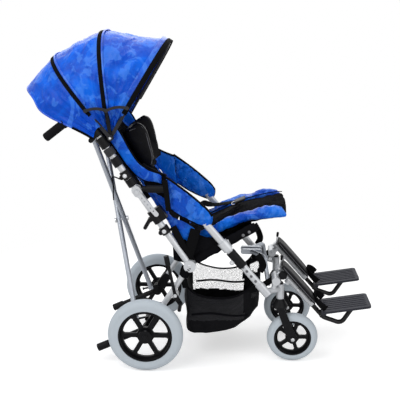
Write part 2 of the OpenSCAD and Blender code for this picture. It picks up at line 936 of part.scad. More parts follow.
// Spoked wheel body with windows between its spokes, hub and bore, standing on the plane y = 0
module rim(d, wall, w, web_t, hub_d, hub_w, spokes, spoke_w, bore_d) {
    inner = d / 2 - wall;
    a = hub_d / 2 + window_round;
    half = 180 / spokes;
    rotate([90, 0, 0])
        difference() {
            union() {
                rotate_extrude($fn = 96)
                    polygon([
                        [0, -web_t / 2],
                        [inner, -web_t / 2],
                        [inner + wall / 3, -w / 2],
                        [d / 2, -w / 2],
                        [d / 2, w / 2],
                        [inner + wall / 3, w / 2],
                        [inner, web_t / 2],
                        [0, web_t / 2]
                    ]);
                translate([0, 0, -hub_w / 2])
                    cylinder(h = hub_w, d = hub_d);
            }
            for (i = [0:spokes - 1])
                rotate([0, 0, (i + 0.5) * 360 / spokes])
                    translate([0, 0, -w])
                        linear_extrude(2 * w)
                            offset(r = window_round, $fn = 20)
                                offset(delta = -window_round)
                                    intersection() {
                                        circle(r = inner - wall / 2, $fn = 60);
                                        difference() {
                                            polygon([
                                                [spoke_w / 2 / sin(half), 0],
                                                [spoke_w / 2 / sin(half) + d * cos(half), d * sin(half)],
                                                [spoke_w / 2 / sin(half) + d * cos(half), -d * sin(half)]
                                            ]);
                                            circle(r = a, $fn = 40);
                                        }
                                    }
            translate([0, 0, -hub_w])
                cylinder(h = 2 * hub_w, d = bore_d + 2 * run_gap);
        }
}

module rear_tyre() {
    color("lightsteelblue")
        translate([0, wheel_y, rear_axle_z])
            tyre(rear_wheel_d, rear_tyre_w, rear_rim_d);
}

module rear_rim() {
    color("black")
        translate([0, wheel_y, rear_axle_z])
            rim(rear_rim_d, rear_rim_wall, rear_rim_w, rear_web_t, rear_hub_d, rear_hub_w,
                rear_spokes, rear_spoke_w, axle_d);
}

module front_tyre() {
    color("lightsteelblue")
        translate([front_axle_x, caster_y, front_axle_z])
            tyre(front_wheel_d, front_tyre_w, front_rim_d);
}

module front_rim() {
    color("black")
        translate([front_axle_x, caster_y, front_axle_z])
            rim(front_rim_d, front_rim_wall, front_rim_w, front_web_t, front_hub_d, front_hub_w,
                front_spokes, front_spoke_w, front_axle_d);
}

module caster_fork() {
    blade_y = front_hub_w / 2 + pass_gap;
    stem_top = head_tube_z1 + pass_gap;
    color("black") {
        translate([wheelbase, caster_y, crown_z - crown_h])
            cylinder(h = head_tube_z0 - pass_gap - crown_z + crown_h, d1 = crown_d, d2 = head_tube_d);
        translate([wheelbase, caster_y, crown_z - crown_h - blade_t])
            cylinder(h = blade_t, d = crown_d);
        for (y = [caster_y - blade_y - blade_t, caster_y + blade_y])
            side_plate(y, y + blade_t) {
                polygon([
                    [wheelbase - blade_w / 2, crown_z - crown_h],
                    [front_axle_x - blade_foot_w / 2, front_axle_z],
                    [front_axle_x + blade_foot_w / 2, front_axle_z],
                    [wheelbase + blade_w / 2, crown_z - crown_h]
                ]);
                translate([front_axle_x, front_axle_z])
                    circle(d = blade_foot_w);
            }
    }
    color("silver") {
        translate([wheelbase, caster_y, crown_z])
            cylinder(h = stem_top - crown_z, d = stem_d);
        translate([wheelbase, caster_y, stem_top])
            cylinder(h = stem_head_h, d = stem_head_d);
        pin_y(front_axle_x, front_axle_z, caster_y - blade_y, caster_y + blade_y, front_axle_d);
        pin_y(front_axle_x, front_axle_z, caster_y + blade_y + blade_t,
            caster_y + blade_y + blade_t + bolt_head_h, bolt_head_d);
        pin_y(front_axle_x, front_axle_z, caster_y - blade_y - blade_t - bolt_head_h,
            caster_y - blade_y - blade_t, bolt_head_d);
    }
}

module caster_head() {
    foot = leg_at(0, 0, side_y);
    head = [wheelbase, caster_y, leg_foot_z];
    pin_y0 = legrest_y + knee_barrel_l / 2 + pass_gap;
    post = mix(foot, head, post_share);
    lug = mix(foot, head, brace_lug_share);
    eye = [lug.x, brace_foot_y - brace_eye_d, brace_foot_z];
    color("gainsboro")
        difference() {
            union() {
                leg_run(-leg_depth / 2, seat_joint_core + leg_depth, clamp_wall / 2);
                rod(foot, head, foot_tube_d);
                translate([wheelbase, caster_y, head_tube_z0])
                    cylinder(h = head_tube_z1 - head_tube_z0, d = head_tube_d);
                rod(post, [knee_x, post.y, knee_z], knee_post_d);
                pin_y(knee_x, knee_z, pin_y0, side_y, knee_barrel_d);
                rod(eye + unit(eye - lug) * brace_lug_d / 2, lug, brace_lug_d);
            }
            leg_run(seat_joint_core - fit_gap, leg_l, fit_gap);
            translate([wheelbase, caster_y, head_tube_z0 - over])
                cylinder(h = head_tube_z1 - head_tube_z0 + 2 * over, d = stem_d + 2 * run_gap);
        }
    color("silver") {
        pin_y(knee_x, knee_z, legrest_y - knee_barrel_l / 2 - clamp_wall, pin_y0 + over, knee_pin_d);
        rod([brace_pin_x, eye.y, eye.z], eye, brace_pin_d);
    }
}

// Leg rest, measured down its slope from its top, with an offset towards the front
function rest_at(t, off = 0, y = 0) = [
    knee_x + sin(legrest_angle) * rest_off + cos(legrest_angle) * (t - stub_d) + sin(legrest_angle) * off,
    y,
    knee_z + cos(legrest_angle) * rest_off - sin(legrest_angle) * (t - stub_d) + cos(legrest_angle) * off
];

module legrest_hanger() {
    top = rest_at(0, 0, legrest_y);
    low = rest_at(rest_sleeve_l, 0, legrest_y);
    color("silver")
        difference() {
            union() {
                pin_y(knee_x, knee_z, legrest_y - knee_barrel_l / 2, legrest_y + knee_barrel_l / 2,
                    knee_barrel_d);
                rod([knee_x, legrest_y, knee_z], rest_at(stub_d, 0, legrest_y), stub_d);
                rod(rest_at(stub_low_t, -stub_low_off, legrest_y), rest_at(stub_low_t, 0, legrest_y),
                    stub_d);
                rod(top, low, rest_tube_d);
            }
            pin_y(knee_x, knee_z, legrest_y - knee_barrel_l, legrest_y + knee_barrel_l,
                knee_pin_d + 2 * run_gap);
            rod(rest_at(foot_tube_in - pass_gap, 0, legrest_y), rest_at(legrest_l, 0, legrest_y),
                foot_tube_bore_d + 2 * run_gap);
        }
}

module calf_pad() {
    function pad(side) = [
        for (i = [0:cushion_columns]) let (u = i / cushion_columns) [
            for (j = [0:cushion_columns / 2]) let (
                v = 2 * j / cushion_columns,
                puff = crown(u, pad_end_share) * crown(v, pad_side_share),
                y = legrest_y + (2 * v - 1) * calf_pad_w / 2
                    * mix(pad_drawn_share, 1, crown(u, pad_side_share)),
                front = calf_pad_t * mix(calf_edge_share, 1, puff)
            ) rest_at(u * calf_pad_l, calf_pad_off + (side > 0 ? front : pass_gap * (1 - puff)), y)
        ]
    ];
    color("black")
        quilt(pad(1), pad(-1));
}

// Run of the bent tube that carries a footplate
function foot_run() = let (
    end = rest_at(legrest_l + foot_reach),
    tip = plate_at(footplate_l * foot_plate_share)
) [
    rest_at(foot_tube_in, 0, legrest_y),
    end + [0, legrest_y, 0],
    [mix(end.x, tip.x, foot_low_share), legrest_y, end.z - foot_bend_r],
    [tip.x, legrest_y, tip.z - plate_thickness - foot_bent_d / 2 - pass_gap]
];

// Footplate, measured forward from its rear edge, with an offset up
plate_rear = rest_at(legrest_l - 26, 20);
function plate_at(t, off = 0, y = 0) = [
    plate_rear.x + cos(footplate_angle) * t - sin(footplate_angle) * off,
    y,
    plate_rear.z + sin(footplate_angle) * t + cos(footplate_angle) * off
];
plate_pivot_t = 10;
plate_pivot_off = -19;

module foot_tube() {
    run = foot_run();
    pivot = plate_at(plate_pivot_t, plate_pivot_off);
    lug_y = foot_bent_d / 2 - over;
    color("black") {
        bent_tube(run, foot_bend_r, foot_bent_d);
        side_plate(legrest_y - lug_y, legrest_y + lug_y)
            slot_bar([pivot.x, pivot.z], [run[1].x - foot_bent_d / 2, run[1].z + foot_bent_d / 2], bar_w);
        pin_y(pivot.x, pivot.z, legrest_y - footplate_w / 3, legrest_y + footplate_w / 3, plate_pin_d);
    }
}

module footplate() {
    pivot = plate_at(plate_pivot_t, plate_pivot_off);
    lug_y = foot_bent_d / 2 + pass_gap;
    notch_y = lug_y + pass_gap;
    y0 = legrest_y - footplate_w / 2;
    rib_span = footplate_w - 2 * plate_round;
    color("black")
        difference() {
            union() {
                translate(plate_at(0, -plate_thickness, y0))
                    rotate([0, -footplate_angle, 0]) {
                        linear_extrude(plate_thickness)
                            union() {
                                translate([0, plate_round])
                                    square([footplate_l, footplate_w - 2 * plate_round]);
                                translate([0, 0])
                                    square([footplate_l - plate_round, footplate_w]);
                                for (y = [plate_round, footplate_w - plate_round])
                                    translate([footplate_l - plate_round, y])
                                        circle(r = plate_round);
                            }
                        for (i = [0:plate_ribs - 1])
                            translate([plate_round, plate_round + rib_span * (i + 0.5) / plate_ribs
                                - plate_rib_w / 2, plate_thickness])
                                cube([footplate_l - 2 * plate_round, plate_rib_w, plate_rib_h]);
                    }
                for (side = [-1, 1])
                    translate([0, side > 0 ? legrest_y + lug_y : legrest_y - footplate_w / 3, 0])
                        side_plate(0, footplate_w / 3 - lug_y)
                            slot_bar([pivot.x, pivot.z],
                                [plate_at(plate_pivot_t, -plate_thickness / 2).x,
                                 plate_at(plate_pivot_t, -plate_thickness / 2).z], plate_hinge_d);
            }
            pin_y(pivot.x, pivot.z, y0, y0 + footplate_w, plate_pin_d + 2 * run_gap);
            translate(plate_at(-over, -plate_thickness - over, legrest_y - notch_y))
                rotate([0, -footplate_angle, 0])
                    cube([over + plate_pivot_t + bar_w / 2, 2 * notch_y,
                        plate_thickness + plate_rib_h + 2 * over]);
        }
}

// Line of a rear strut in the side view, and the normal of the plane that it turns in
strut_line = unit([strut_head_x - strut_foot_x, 0, strut_head_z - strut_foot_z]);
function strut_normal() = [strut_line.z, 0, -strut_line.x];

// Rear strut from the foot on the left side to the head on the right, on its side of the pin's middle
module rear_strut(layer) {
    shift = strut_normal() * (layer * strut_plane_off);
    foot = [strut_foot_x, strut_y, strut_foot_z] + shift;
    head = [strut_head_x, -strut_y, strut_head_z] + shift;
    n = strut_normal();
    color("lightgray")
        difference() {
            union() {
                rod(foot, head, strut_d);
                along(foot - n * strut_d / 2, n)
                    cylinder(h = strut_d, d = strut_d);
                along(head - n * strut_d / 2, n)
                    cylinder(h = strut_d, d = strut_d);
            }
            along(foot - n * strut_d, n)
                cylinder(h = 2 * strut_d, d = strut_pin_d + 2 * run_gap);
            along((foot + head) / 2 - n * strut_d, n)
                cylinder(h = 2 * strut_d, d = strut_pin_d + (layer > 0 ? 2 * fit_gap : strut_slack));
        }
}

// Pin through the crossing, with a round knob at each end
module strut_pin() {
    foot = [strut_foot_x, strut_y, strut_foot_z];
    head = [strut_head_x, -strut_y, strut_head_z];
    n = strut_normal();
    mid = (foot + head) / 2;
    half = strut_plane_off + strut_d / 2 + pass_gap;
    color("dimgray") {
        along(mid - n * half, n)
            cylinder(h = 2 * half, d = strut_pin_d);
        along(mid + n * half, n)
            cylinder(h = clamp_wall, d = strut_d);
        along(mid - n * (half + clamp_wall), n)
            cylinder(h = clamp_wall, d = strut_d);
    }
}

// Half of the front brace: an eye on the frame's foot, a curved arm and a plate at the middle
module brace_half() {
    foot = [brace_foot_x, brace_foot_y - brace_eye_d, brace_foot_z];
    hub = [brace_hub_x, brace_hub_gap / 2 + brace_plate_t / 2, brace_hub_z];
    knee = [brace_foot_x - brace_eye_d / 2, mix(foot.y, hub.y, brace_knee_share), brace_hub_z];
    color("lightgray")
        difference() {
            union() {
                bent_tube([foot, knee, hub], brace_eye_d, brace_tube_d);
                translate([brace_foot_x - brace_tube_d / 2, foot.y, brace_foot_z])
                    rotate([0, 90, 0])
                        cylinder(h = brace_tube_d, d = brace_eye_d);
                side_plate(brace_hub_gap / 2, brace_hub_gap / 2 + brace_plate_t)
                    slot_bar([brace_hub_x - brace_plate_l / 2 + brace_plate_h / 2, brace_hub_z],
                        [brace_hub_x + brace_plate_l / 2 - brace_plate_h / 2, brace_hub_z],
                        brace_plate_h);
            }
            translate([brace_foot_x - brace_eye_d, foot.y, brace_foot_z])
                rotate([0, 90, 0])
                    cylinder(h = 2 * brace_eye_d, d = brace_pin_d + 2 * run_gap);
        }
}

// Mid-line of the seat cushion in the side view at a share of its length, and its upward normal
function seat_line(u) = bezier(seat_rear, seat_rear_pull, seat_front_pull, seat_front, u);
function seat_up(u) = let (
    d = seat_line(min(1, u + seat_step_share)) - seat_line(max(0, u - seat_step_share))
) unit([-d.y, d.x]);

module seat_cushion() {
    function pad(side) = [
        for (i = [0:cushion_rows]) let (u = i / cushion_rows, p = seat_line(u), n = seat_up(u)) [
            for (j = [0:cushion_columns]) let (
                v = 2 * j / cushion_columns - 1,
                full = crown(u, pad_end_share) * crown((v + 1) / 2, pad_across_share),
                rise = seat_bolster * smooth((abs(v) - bolster_share) / (1 - bolster_share))
                    * crown(u, pad_side_share),
                half = seat_t / 2 * mix(seat_round_share, 1, full),
                q = p + n * (side > 0 ? half + rise : -half + rise * seat_under_share)
            ) [q.x, v * seat_w / 2 * mix(pad_drawn_share, 1, crown(u, pad_end_share)), q.y]
        ]
    ];
    color("royalblue")
        quilt(pad(-1), pad(1));
}

module seat_sling() {
    function sheet(drop) = [
        for (i = [0:sling_rows]) let (t = mix(seat_joint_d, rail_l - tube_d, i / sling_rows)) [
            for (j = [0:sling_columns]) let (
                v = 2 * j / sling_columns - 1,
                sag = sling_drop * (1 - v * v)
            ) rail_at(t, -sag - drop, v * (rail_y - tube_d / 2 - clamp_wall - pass_gap))
        ]
    ];
    color("black")
        quilt(sheet(sling_t), sheet(0));
}

module back_cushion() {
    function pad(side) = [
        for (i = [0:cushion_rows]) let (u = i / cushion_rows, t = mix(back_t0, back_t1, u)) [
            for (j = [0:cushion_columns]) let (
                v = 2 * j / cushion_columns - 1,
                full = crown(u, back_end_share) * crown((v + 1) / 2, back_end_share),
                wing = back_bolster
                    * smooth((abs(v) - bolster_share) / (1 - bolster_share) * wing_rise_share)
                    * mix(wing_low_share, 1, crown(u, wing_end_share)),
                half = back_pad_t / 2 * mix(seat_round_share, 1, full),
                middle = back_rear_off + back_pad_t / 2 + wing * wing_middle_share,
                off = middle + side * (half + wing * wing_thick_share)
            ) back_at(t, off, v * back_w / 2 * mix(back_drawn_share, 1, crown(u, back_end_share)))
        ]
    ];
    color("royalblue")
        quilt(pad(1), pad(-1));
}

// U-shaped head support: a back pad and two wings that hold the head
module head_support() {
    module wing_outline() {
        r = head_round;
        w = head_w / 2;
        slot_bar([head_off + r, -w + r], [head_off + r, w - r], 2 * r);
        slot_bar([head_off + r, -w + r], [head_off + head_depth - r, -w + r], 2 * r);
        slot_bar([head_off + r, w - r], [head_off + head_depth - r, w - r], 2 * r);
    }
    p = back_at(head_t0);
    color("black")
        translate([p.x, 0, p.z])
            rotate([0, back_angle - 90, 0])
                linear_extrude(head_t1 - head_t0)
                    wing_outline();
}

// Outer surface of the basket at shares of its length and width, drawn in by a wall
module basket() {
    function lay(inset) = [
        for (i = [0:basket_rows]) let (
            u = (1 - cos(180 * i / basket_rows)) / 2,
            x = mix(basket_rear_x + inset, basket_front_x - inset, u),
            rim_z = mix(basket_rear_rim_z, basket_front_rim_z, smooth(u * basket_rim_share)),
            floor_z = mix(basket_floor_z, basket_front_floor_z,
                smooth((u - basket_flat_share) / (1 - basket_flat_share)))
        ) [
            for (j = [0:basket_columns]) let (
                v = -cos(180 * j / basket_columns),
                deep = (1 - pow(abs(2 * u - 1), basket_end_power)) * (1 - pow(abs(v), basket_side_power)),
                z = mix(rim_z, floor_z + inset, deep)
            ) [x, v * (basket_w / 2 - inset), z]
        ]
    ];
    color("black")
        quilt(lay(basket_wall), lay(0));
}

// Arch of the hood at a turn from the front, in the plane that holds the pivots: share k from 0 to 1
function bow_share(a) =
    a < middle_bow_angle
        ? mix(front_bow_share, middle_bow_share,
            (a - front_bow_angle) / (middle_bow_angle - front_bow_angle))
        : a < rear_bow_angle
            ? mix(middle_bow_share, rear_bow_share,
                (a - middle_bow_angle) / (rear_bow_angle - middle_bow_angle))
            : mix(rear_bow_share, hem_share, (a - rear_bow_angle) / (hem_angle - rear_bow_angle));
function arch(k, h, grow, foot_y) = let (
    c = cos(180 * k),
    s = sin(180 * k),
    up = pow(s, 2 / arch_power),
    across = sign(c) * pow(abs(c), 2 / arch_power),
    wide = hood_w / 2 - (hood_w / 2 - foot_y) * pow(1 - up, 2) + grow
) [across * wide, up * (h + grow)];
function hood_point(a, flat_point) = let (p = back_at(hood_clamp_t, hood_clamp_off)) [
    p.x + cos(a) * flat_point.y,
    flat_point.x,
    p.z + sin(a) * flat_point.y
];

// Bow bent to the arch, with an eye at each pivot
module bow(a, eye_y) {
    h = bow_h * bow_share(a);
    inset = -bow_d / 2;
    foot_y = eye_y + bow_eye_t / 2 + bow_d / 2;
    ring_points = [
        for (i = [0:bow_steps]) let (
            k = mix(bow_foot_share, 1 - bow_foot_share, i / bow_steps),
            p = arch(k, h, inset, foot_y),
            q = arch(k + curve_step_share, h, inset, foot_y) - arch(k - curve_step_share, h, inset, foot_y),
            n = unit([-q.y, q.x])
        ) [
            for (j = [0:bow_sides - 1]) let (
                w = 360 * j / bow_sides,
                f = p + n * (cos(w) * bow_d / 2),
                c = hood_point(a, f),
                z = sin(w) * bow_d / 2
            ) [c.x + sin(a) * z, c.y, c.z - cos(a) * z]
        ]
    ];
    last = bow_steps * bow_sides;
    faces = concat(
        [for (i = [0:bow_steps - 1]) for (j = [0:bow_sides - 1]) let (m = (j + 1) % bow_sides)
            [i * bow_sides + j, (i + 1) * bow_sides + m, i * bow_sides + m]],
        [for (i = [0:bow_steps - 1]) for (j = [0:bow_sides - 1]) let (m = (j + 1) % bow_sides)
            [i * bow_sides + j, (i + 1) * bow_sides + j, (i + 1) * bow_sides + m]],
        [[for (j = [0:bow_sides - 1]) j]],
        [[for (j = [bow_sides - 1:-1:0]) last + j]]
    );
    pivot = back_at(hood_clamp_t, hood_clamp_off);
    color("dimgray") {
        polyhedron(points = flat(ring_points), faces = faces, convexity = 4);
        for (side = [right, left]) {
            foot = arch(side > 0 ? bow_foot_share : 1 - bow_foot_share, h, inset, foot_y);
            reach = hood_point(a, foot);
            difference() {
                translate([0, side > 0 ? eye_y : -eye_y - bow_eye_t, 0])
                    side_plate(0, bow_eye_t)
                        union() {
                            translate([pivot.x, pivot.z])
                                circle(d = bow_eye_d);
                            slot_bar([pivot.x, pivot.z], [mix(pivot.x, reach.x, bow_eye_reach_share),
                                mix(pivot.z, reach.z, bow_eye_reach_share)], bow_d + over);
                        }
                pin_y(pivot.x, pivot.z, -hood_w, hood_w, hood_pin_d + 2 * run_gap);
            }
        }
    }
}

module hood_cover() {
    function skin(grow) = [
        for (i = [0:hood_rows]) let (
            a = mix(front_bow_angle, hem_angle, i / hood_rows),
            near = min(abs(a - front_bow_angle), abs(a - middle_bow_angle), abs(a - rear_bow_angle)),
            h = bow_h * bow_share(a) - hood_sag * smooth(near / hood_sag_angle)
        ) [
            for (j = [0:hood_columns])
                hood_point(a, arch(mix(hood_foot_share / 2, 1 - hood_foot_share / 2, j / hood_columns),
                    h, grow + hood_gap, hood_w / 2))
        ]
    ];
    color("royalblue")
        quilt(skin(0), skin(hood_wall));
}

// Ends of the hood's folding link on a bow, and its knuckle
function link_end(a) = let (p = back_at(hood_clamp_t, hood_clamp_off))
    [p.x + cos(a) * link_pin_h, p.z + sin(a) * link_pin_h];
link_rear = link_end(rear_bow_angle);
link_front = link_end(front_bow_angle);
link_knuckle = (link_rear + link_front) / 2 + [0, -link_arch / 2];

// Arched arm with an eye at each end
module hood_link(from, y) {
    chord = link_knuckle - from;
    half = norm(chord) / 2;
    r = (half * half + link_arch * link_arch) / (2 * link_arch);
    side_dir = unit([chord.y, -chord.x]) * (chord.x > 0 ? 1 : -1);
    centre = (from + link_knuckle) / 2 + side_dir * (r - link_arch);
    color("dimgray")
        side_plate(y, y + link_arm_t) {
            intersection() {
                translate(centre)
                    difference() {
                        circle(r = r + link_arm_w / 2, $fn = 180);
                        circle(r = r - link_arm_w / 2, $fn = 180);
                    }
                polygon([centre, mix(centre, from, link_cut_share),
                    mix(centre, link_knuckle, link_cut_share)]);
            }
            translate(from)
                circle(d = link_eye_d);
            translate(link_knuckle)
                circle(d = link_eye_d);
        }
    color("silver")
        pin_y(from.x, from.y, link_pin_y, y + over, link_pin_d);
}

module hood_link_pair(from, y) {
    for (side = [right, left])
        mirror([0, side == right ? 1 : 0, 0])
            hood_link(from, y);
}

placed(right) push_tube();  // right_push_tube
placed(right) push_grip();  // right_push_grip
placed(right) fittings();  // right_fittings
placed(right) latch_bar();  // right_latch_bar
placed(right) latch_lever();  // right_latch_lever
placed(right) front_leg();  // right_front_leg
placed(right) frame_brackets();  // right_frame_brackets
placed(right) caster_head();  // right_caster_head
placed(right) rear_leg();  // right_rear_leg
placed(right) axle_bracket();  // right_axle_bracket
placed(right) brake_lever();  // right_brake_lever
placed(right) seat_rail();  // right_seat_rail
placed(right) armrest_pad();  // right_armrest_pad
placed(right) rear_tyre();  // right_rear_tyre
placed(right) rear_rim();  // right_rear_rim
placed(right) caster_fork();  // right_caster_fork
placed(right) front_tyre();  // right_front_tyre
placed(right) front_rim();  // right_front_rim
placed(right) legrest_hanger();  // right_legrest_hanger
placed(right) calf_pad();  // right_calf_pad
placed(right) foot_tube();  // right_foot_tube
placed(right) footplate();  // right_footplate
placed(left) push_tube();  // left_push_tube
placed(left) push_grip();  // left_push_grip
placed(left) fittings();  // left_fittings
placed(left) latch_bar();  // left_latch_bar
placed(left) latch_lever();  // left_latch_lever
placed(left) front_leg();  // left_front_leg
placed(left) frame_brackets();  // left_frame_brackets
placed(left) caster_head();  // left_caster_head
placed(left) rear_leg();  // left_rear_leg
placed(left) axle_bracket();  // left_axle_bracket
placed(left) brake_lever();  // left_brake_lever
placed(left) seat_rail();  // left_seat_rail
placed(left) armrest_pad();  // left_armrest_pad
placed(left) rear_tyre();  // left_rear_tyre
placed(left) rear_rim();  // left_rear_rim
placed(left) caster_fork();  // left_caster_fork
placed(left) front_tyre();  // left_front_tyre
placed(left) front_rim();  // left_front_rim
placed(left) legrest_hanger();  // left_legrest_hanger
placed(left) calf_pad();  // left_calf_pad
placed(left) foot_tube();  // left_foot_tube
placed(left) footplate();  // left_footplate
placed(left) rear_strut(1);  // rear_strut_a
placed(right) rear_strut(-1);  // rear_strut_b
placed(left) strut_pin();
placed(right) brace_half();  // brace_right
placed(left) brace_half();  // brace_left
placed(left) seat_cushion();
placed(left) seat_sling();
placed(left) back_cushion();
placed(left) head_support();
placed(left) basket();
placed(left) bow(front_bow_angle, front_eye_y);  // hood_front_bow
placed(left) bow(middle_bow_angle, middle_eye_y);  // hood_middle_bow
placed(left) bow(rear_bow_angle, rear_eye_y);  // hood_rear_bow
placed(left) hood_cover();
placed(left) hood_link_pair(link_front, link_y_front);  // hood_link_front
placed(left) hood_link_pair(link_rear, link_y_rear);  // hood_link_rear
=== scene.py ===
"""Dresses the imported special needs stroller: finishes for its frame, and its soft goods, straps and small parts.

Lengths are in millimetres in the classes' fields, measured from the point on the floor under the rear axle,
with X forward, Y to the stroller's left and Z up. Layout.row turns them into the frame's metres.
"""

from __future__ import annotations

import json
import logging
import math
from dataclasses import dataclass, field
from enum import Enum
from functools import cached_property, partialmethod
from typing import Callable, Iterable, Sequence

import bmesh
import bpy
import numpy as np
from mathutils import Matrix, Vector, noise

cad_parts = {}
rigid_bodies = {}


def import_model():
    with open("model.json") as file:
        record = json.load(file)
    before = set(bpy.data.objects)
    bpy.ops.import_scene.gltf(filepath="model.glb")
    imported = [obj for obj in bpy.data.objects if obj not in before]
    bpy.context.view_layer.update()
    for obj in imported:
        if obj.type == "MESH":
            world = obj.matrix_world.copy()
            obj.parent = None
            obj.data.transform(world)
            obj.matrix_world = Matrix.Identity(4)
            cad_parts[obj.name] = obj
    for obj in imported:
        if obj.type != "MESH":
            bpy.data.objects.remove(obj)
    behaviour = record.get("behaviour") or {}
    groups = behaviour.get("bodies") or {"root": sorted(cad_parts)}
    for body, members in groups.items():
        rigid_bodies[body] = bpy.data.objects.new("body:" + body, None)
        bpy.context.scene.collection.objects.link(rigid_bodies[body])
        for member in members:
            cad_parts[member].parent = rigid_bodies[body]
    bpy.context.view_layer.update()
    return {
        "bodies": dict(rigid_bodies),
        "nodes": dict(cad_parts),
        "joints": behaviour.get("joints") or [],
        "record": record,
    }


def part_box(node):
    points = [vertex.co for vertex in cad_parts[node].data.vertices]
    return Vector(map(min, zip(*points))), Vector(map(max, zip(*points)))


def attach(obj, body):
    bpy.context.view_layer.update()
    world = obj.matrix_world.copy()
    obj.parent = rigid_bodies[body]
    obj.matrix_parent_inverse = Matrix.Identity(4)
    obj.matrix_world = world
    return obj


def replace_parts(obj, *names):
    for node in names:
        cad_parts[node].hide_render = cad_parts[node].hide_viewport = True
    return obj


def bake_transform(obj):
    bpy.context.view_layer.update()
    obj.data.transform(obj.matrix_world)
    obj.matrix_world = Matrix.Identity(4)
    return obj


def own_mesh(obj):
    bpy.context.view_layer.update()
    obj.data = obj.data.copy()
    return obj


LOG = logging.getLogger("stroller")
Point = Sequence[float]
Line = Sequence[Point]
Curve = tuple[tuple[float, float], ...]
Cell = tuple[Point, ...]
Thing = bpy.types.Object
Colour = tuple[float, float, float]
Height = Callable[[Vector, Vector], float]
Held = Callable[[Vector], bool]
Choice = Callable[[Vector, Vector], int]
Angle = Callable[[float], float]


class Side(Enum):
    """The two sides of the stroller, by the sign of Y."""

    RIGHT = -1
    LEFT = 1

    @property
    def label(self) -> str:
        """Name of the side as the nodes carry it."""
        return self.name.lower()

    @property
    def body(self) -> str:
        """The body of the side's frame."""
        return f"{self.label}_side"


class Value:
    """A shader socket that takes part in Python expressions."""

    def __init__(self, shader: Shader, socket: bpy.types.NodeSocket) -> None:
        """Wraps a socket of one shader."""
        self.shader = shader
        self.socket = socket

    def _math(self, operation: str, other: Number | None = None) -> Value:
        """Result of a Math node on this value and another."""
        inputs = {0: self} if other is None else {0: self, 1: other}
        return self.shader.node("ShaderNodeMath", {"operation": operation}, inputs)

    def __rsub__(self, other: float) -> Value:
        """Difference from a number."""
        return self.shader.node("ShaderNodeMath", {"operation": "SUBTRACT"}, {0: other, 1: self})

    __add__ = __radd__ = partialmethod(_math, "ADD")
    __mul__ = __rmul__ = partialmethod(_math, "MULTIPLY")
    __sub__ = partialmethod(_math, "SUBTRACT")
    __pow__ = partialmethod(_math, "POWER")
    __abs__ = partialmethod(_math, "ABSOLUTE")
    above = partialmethod(_math, "GREATER_THAN")
    sine = partialmethod(_math, "SINE")
    lowest = partialmethod(_math, "MINIMUM")
    highest = partialmethod(_math, "MAXIMUM")

    def between(self, low: float, high: float) -> Value:
        """Runs smoothly from 0 at low to 1 at high."""
        settings = {"interpolation_type": "SMOOTHSTEP", "clamp": True}
        return self.shader.node("ShaderNodeMapRange", settings, {0: self, 1: low, 2: high, 3: 0.0, 4: 1.0})


Number = Value | float


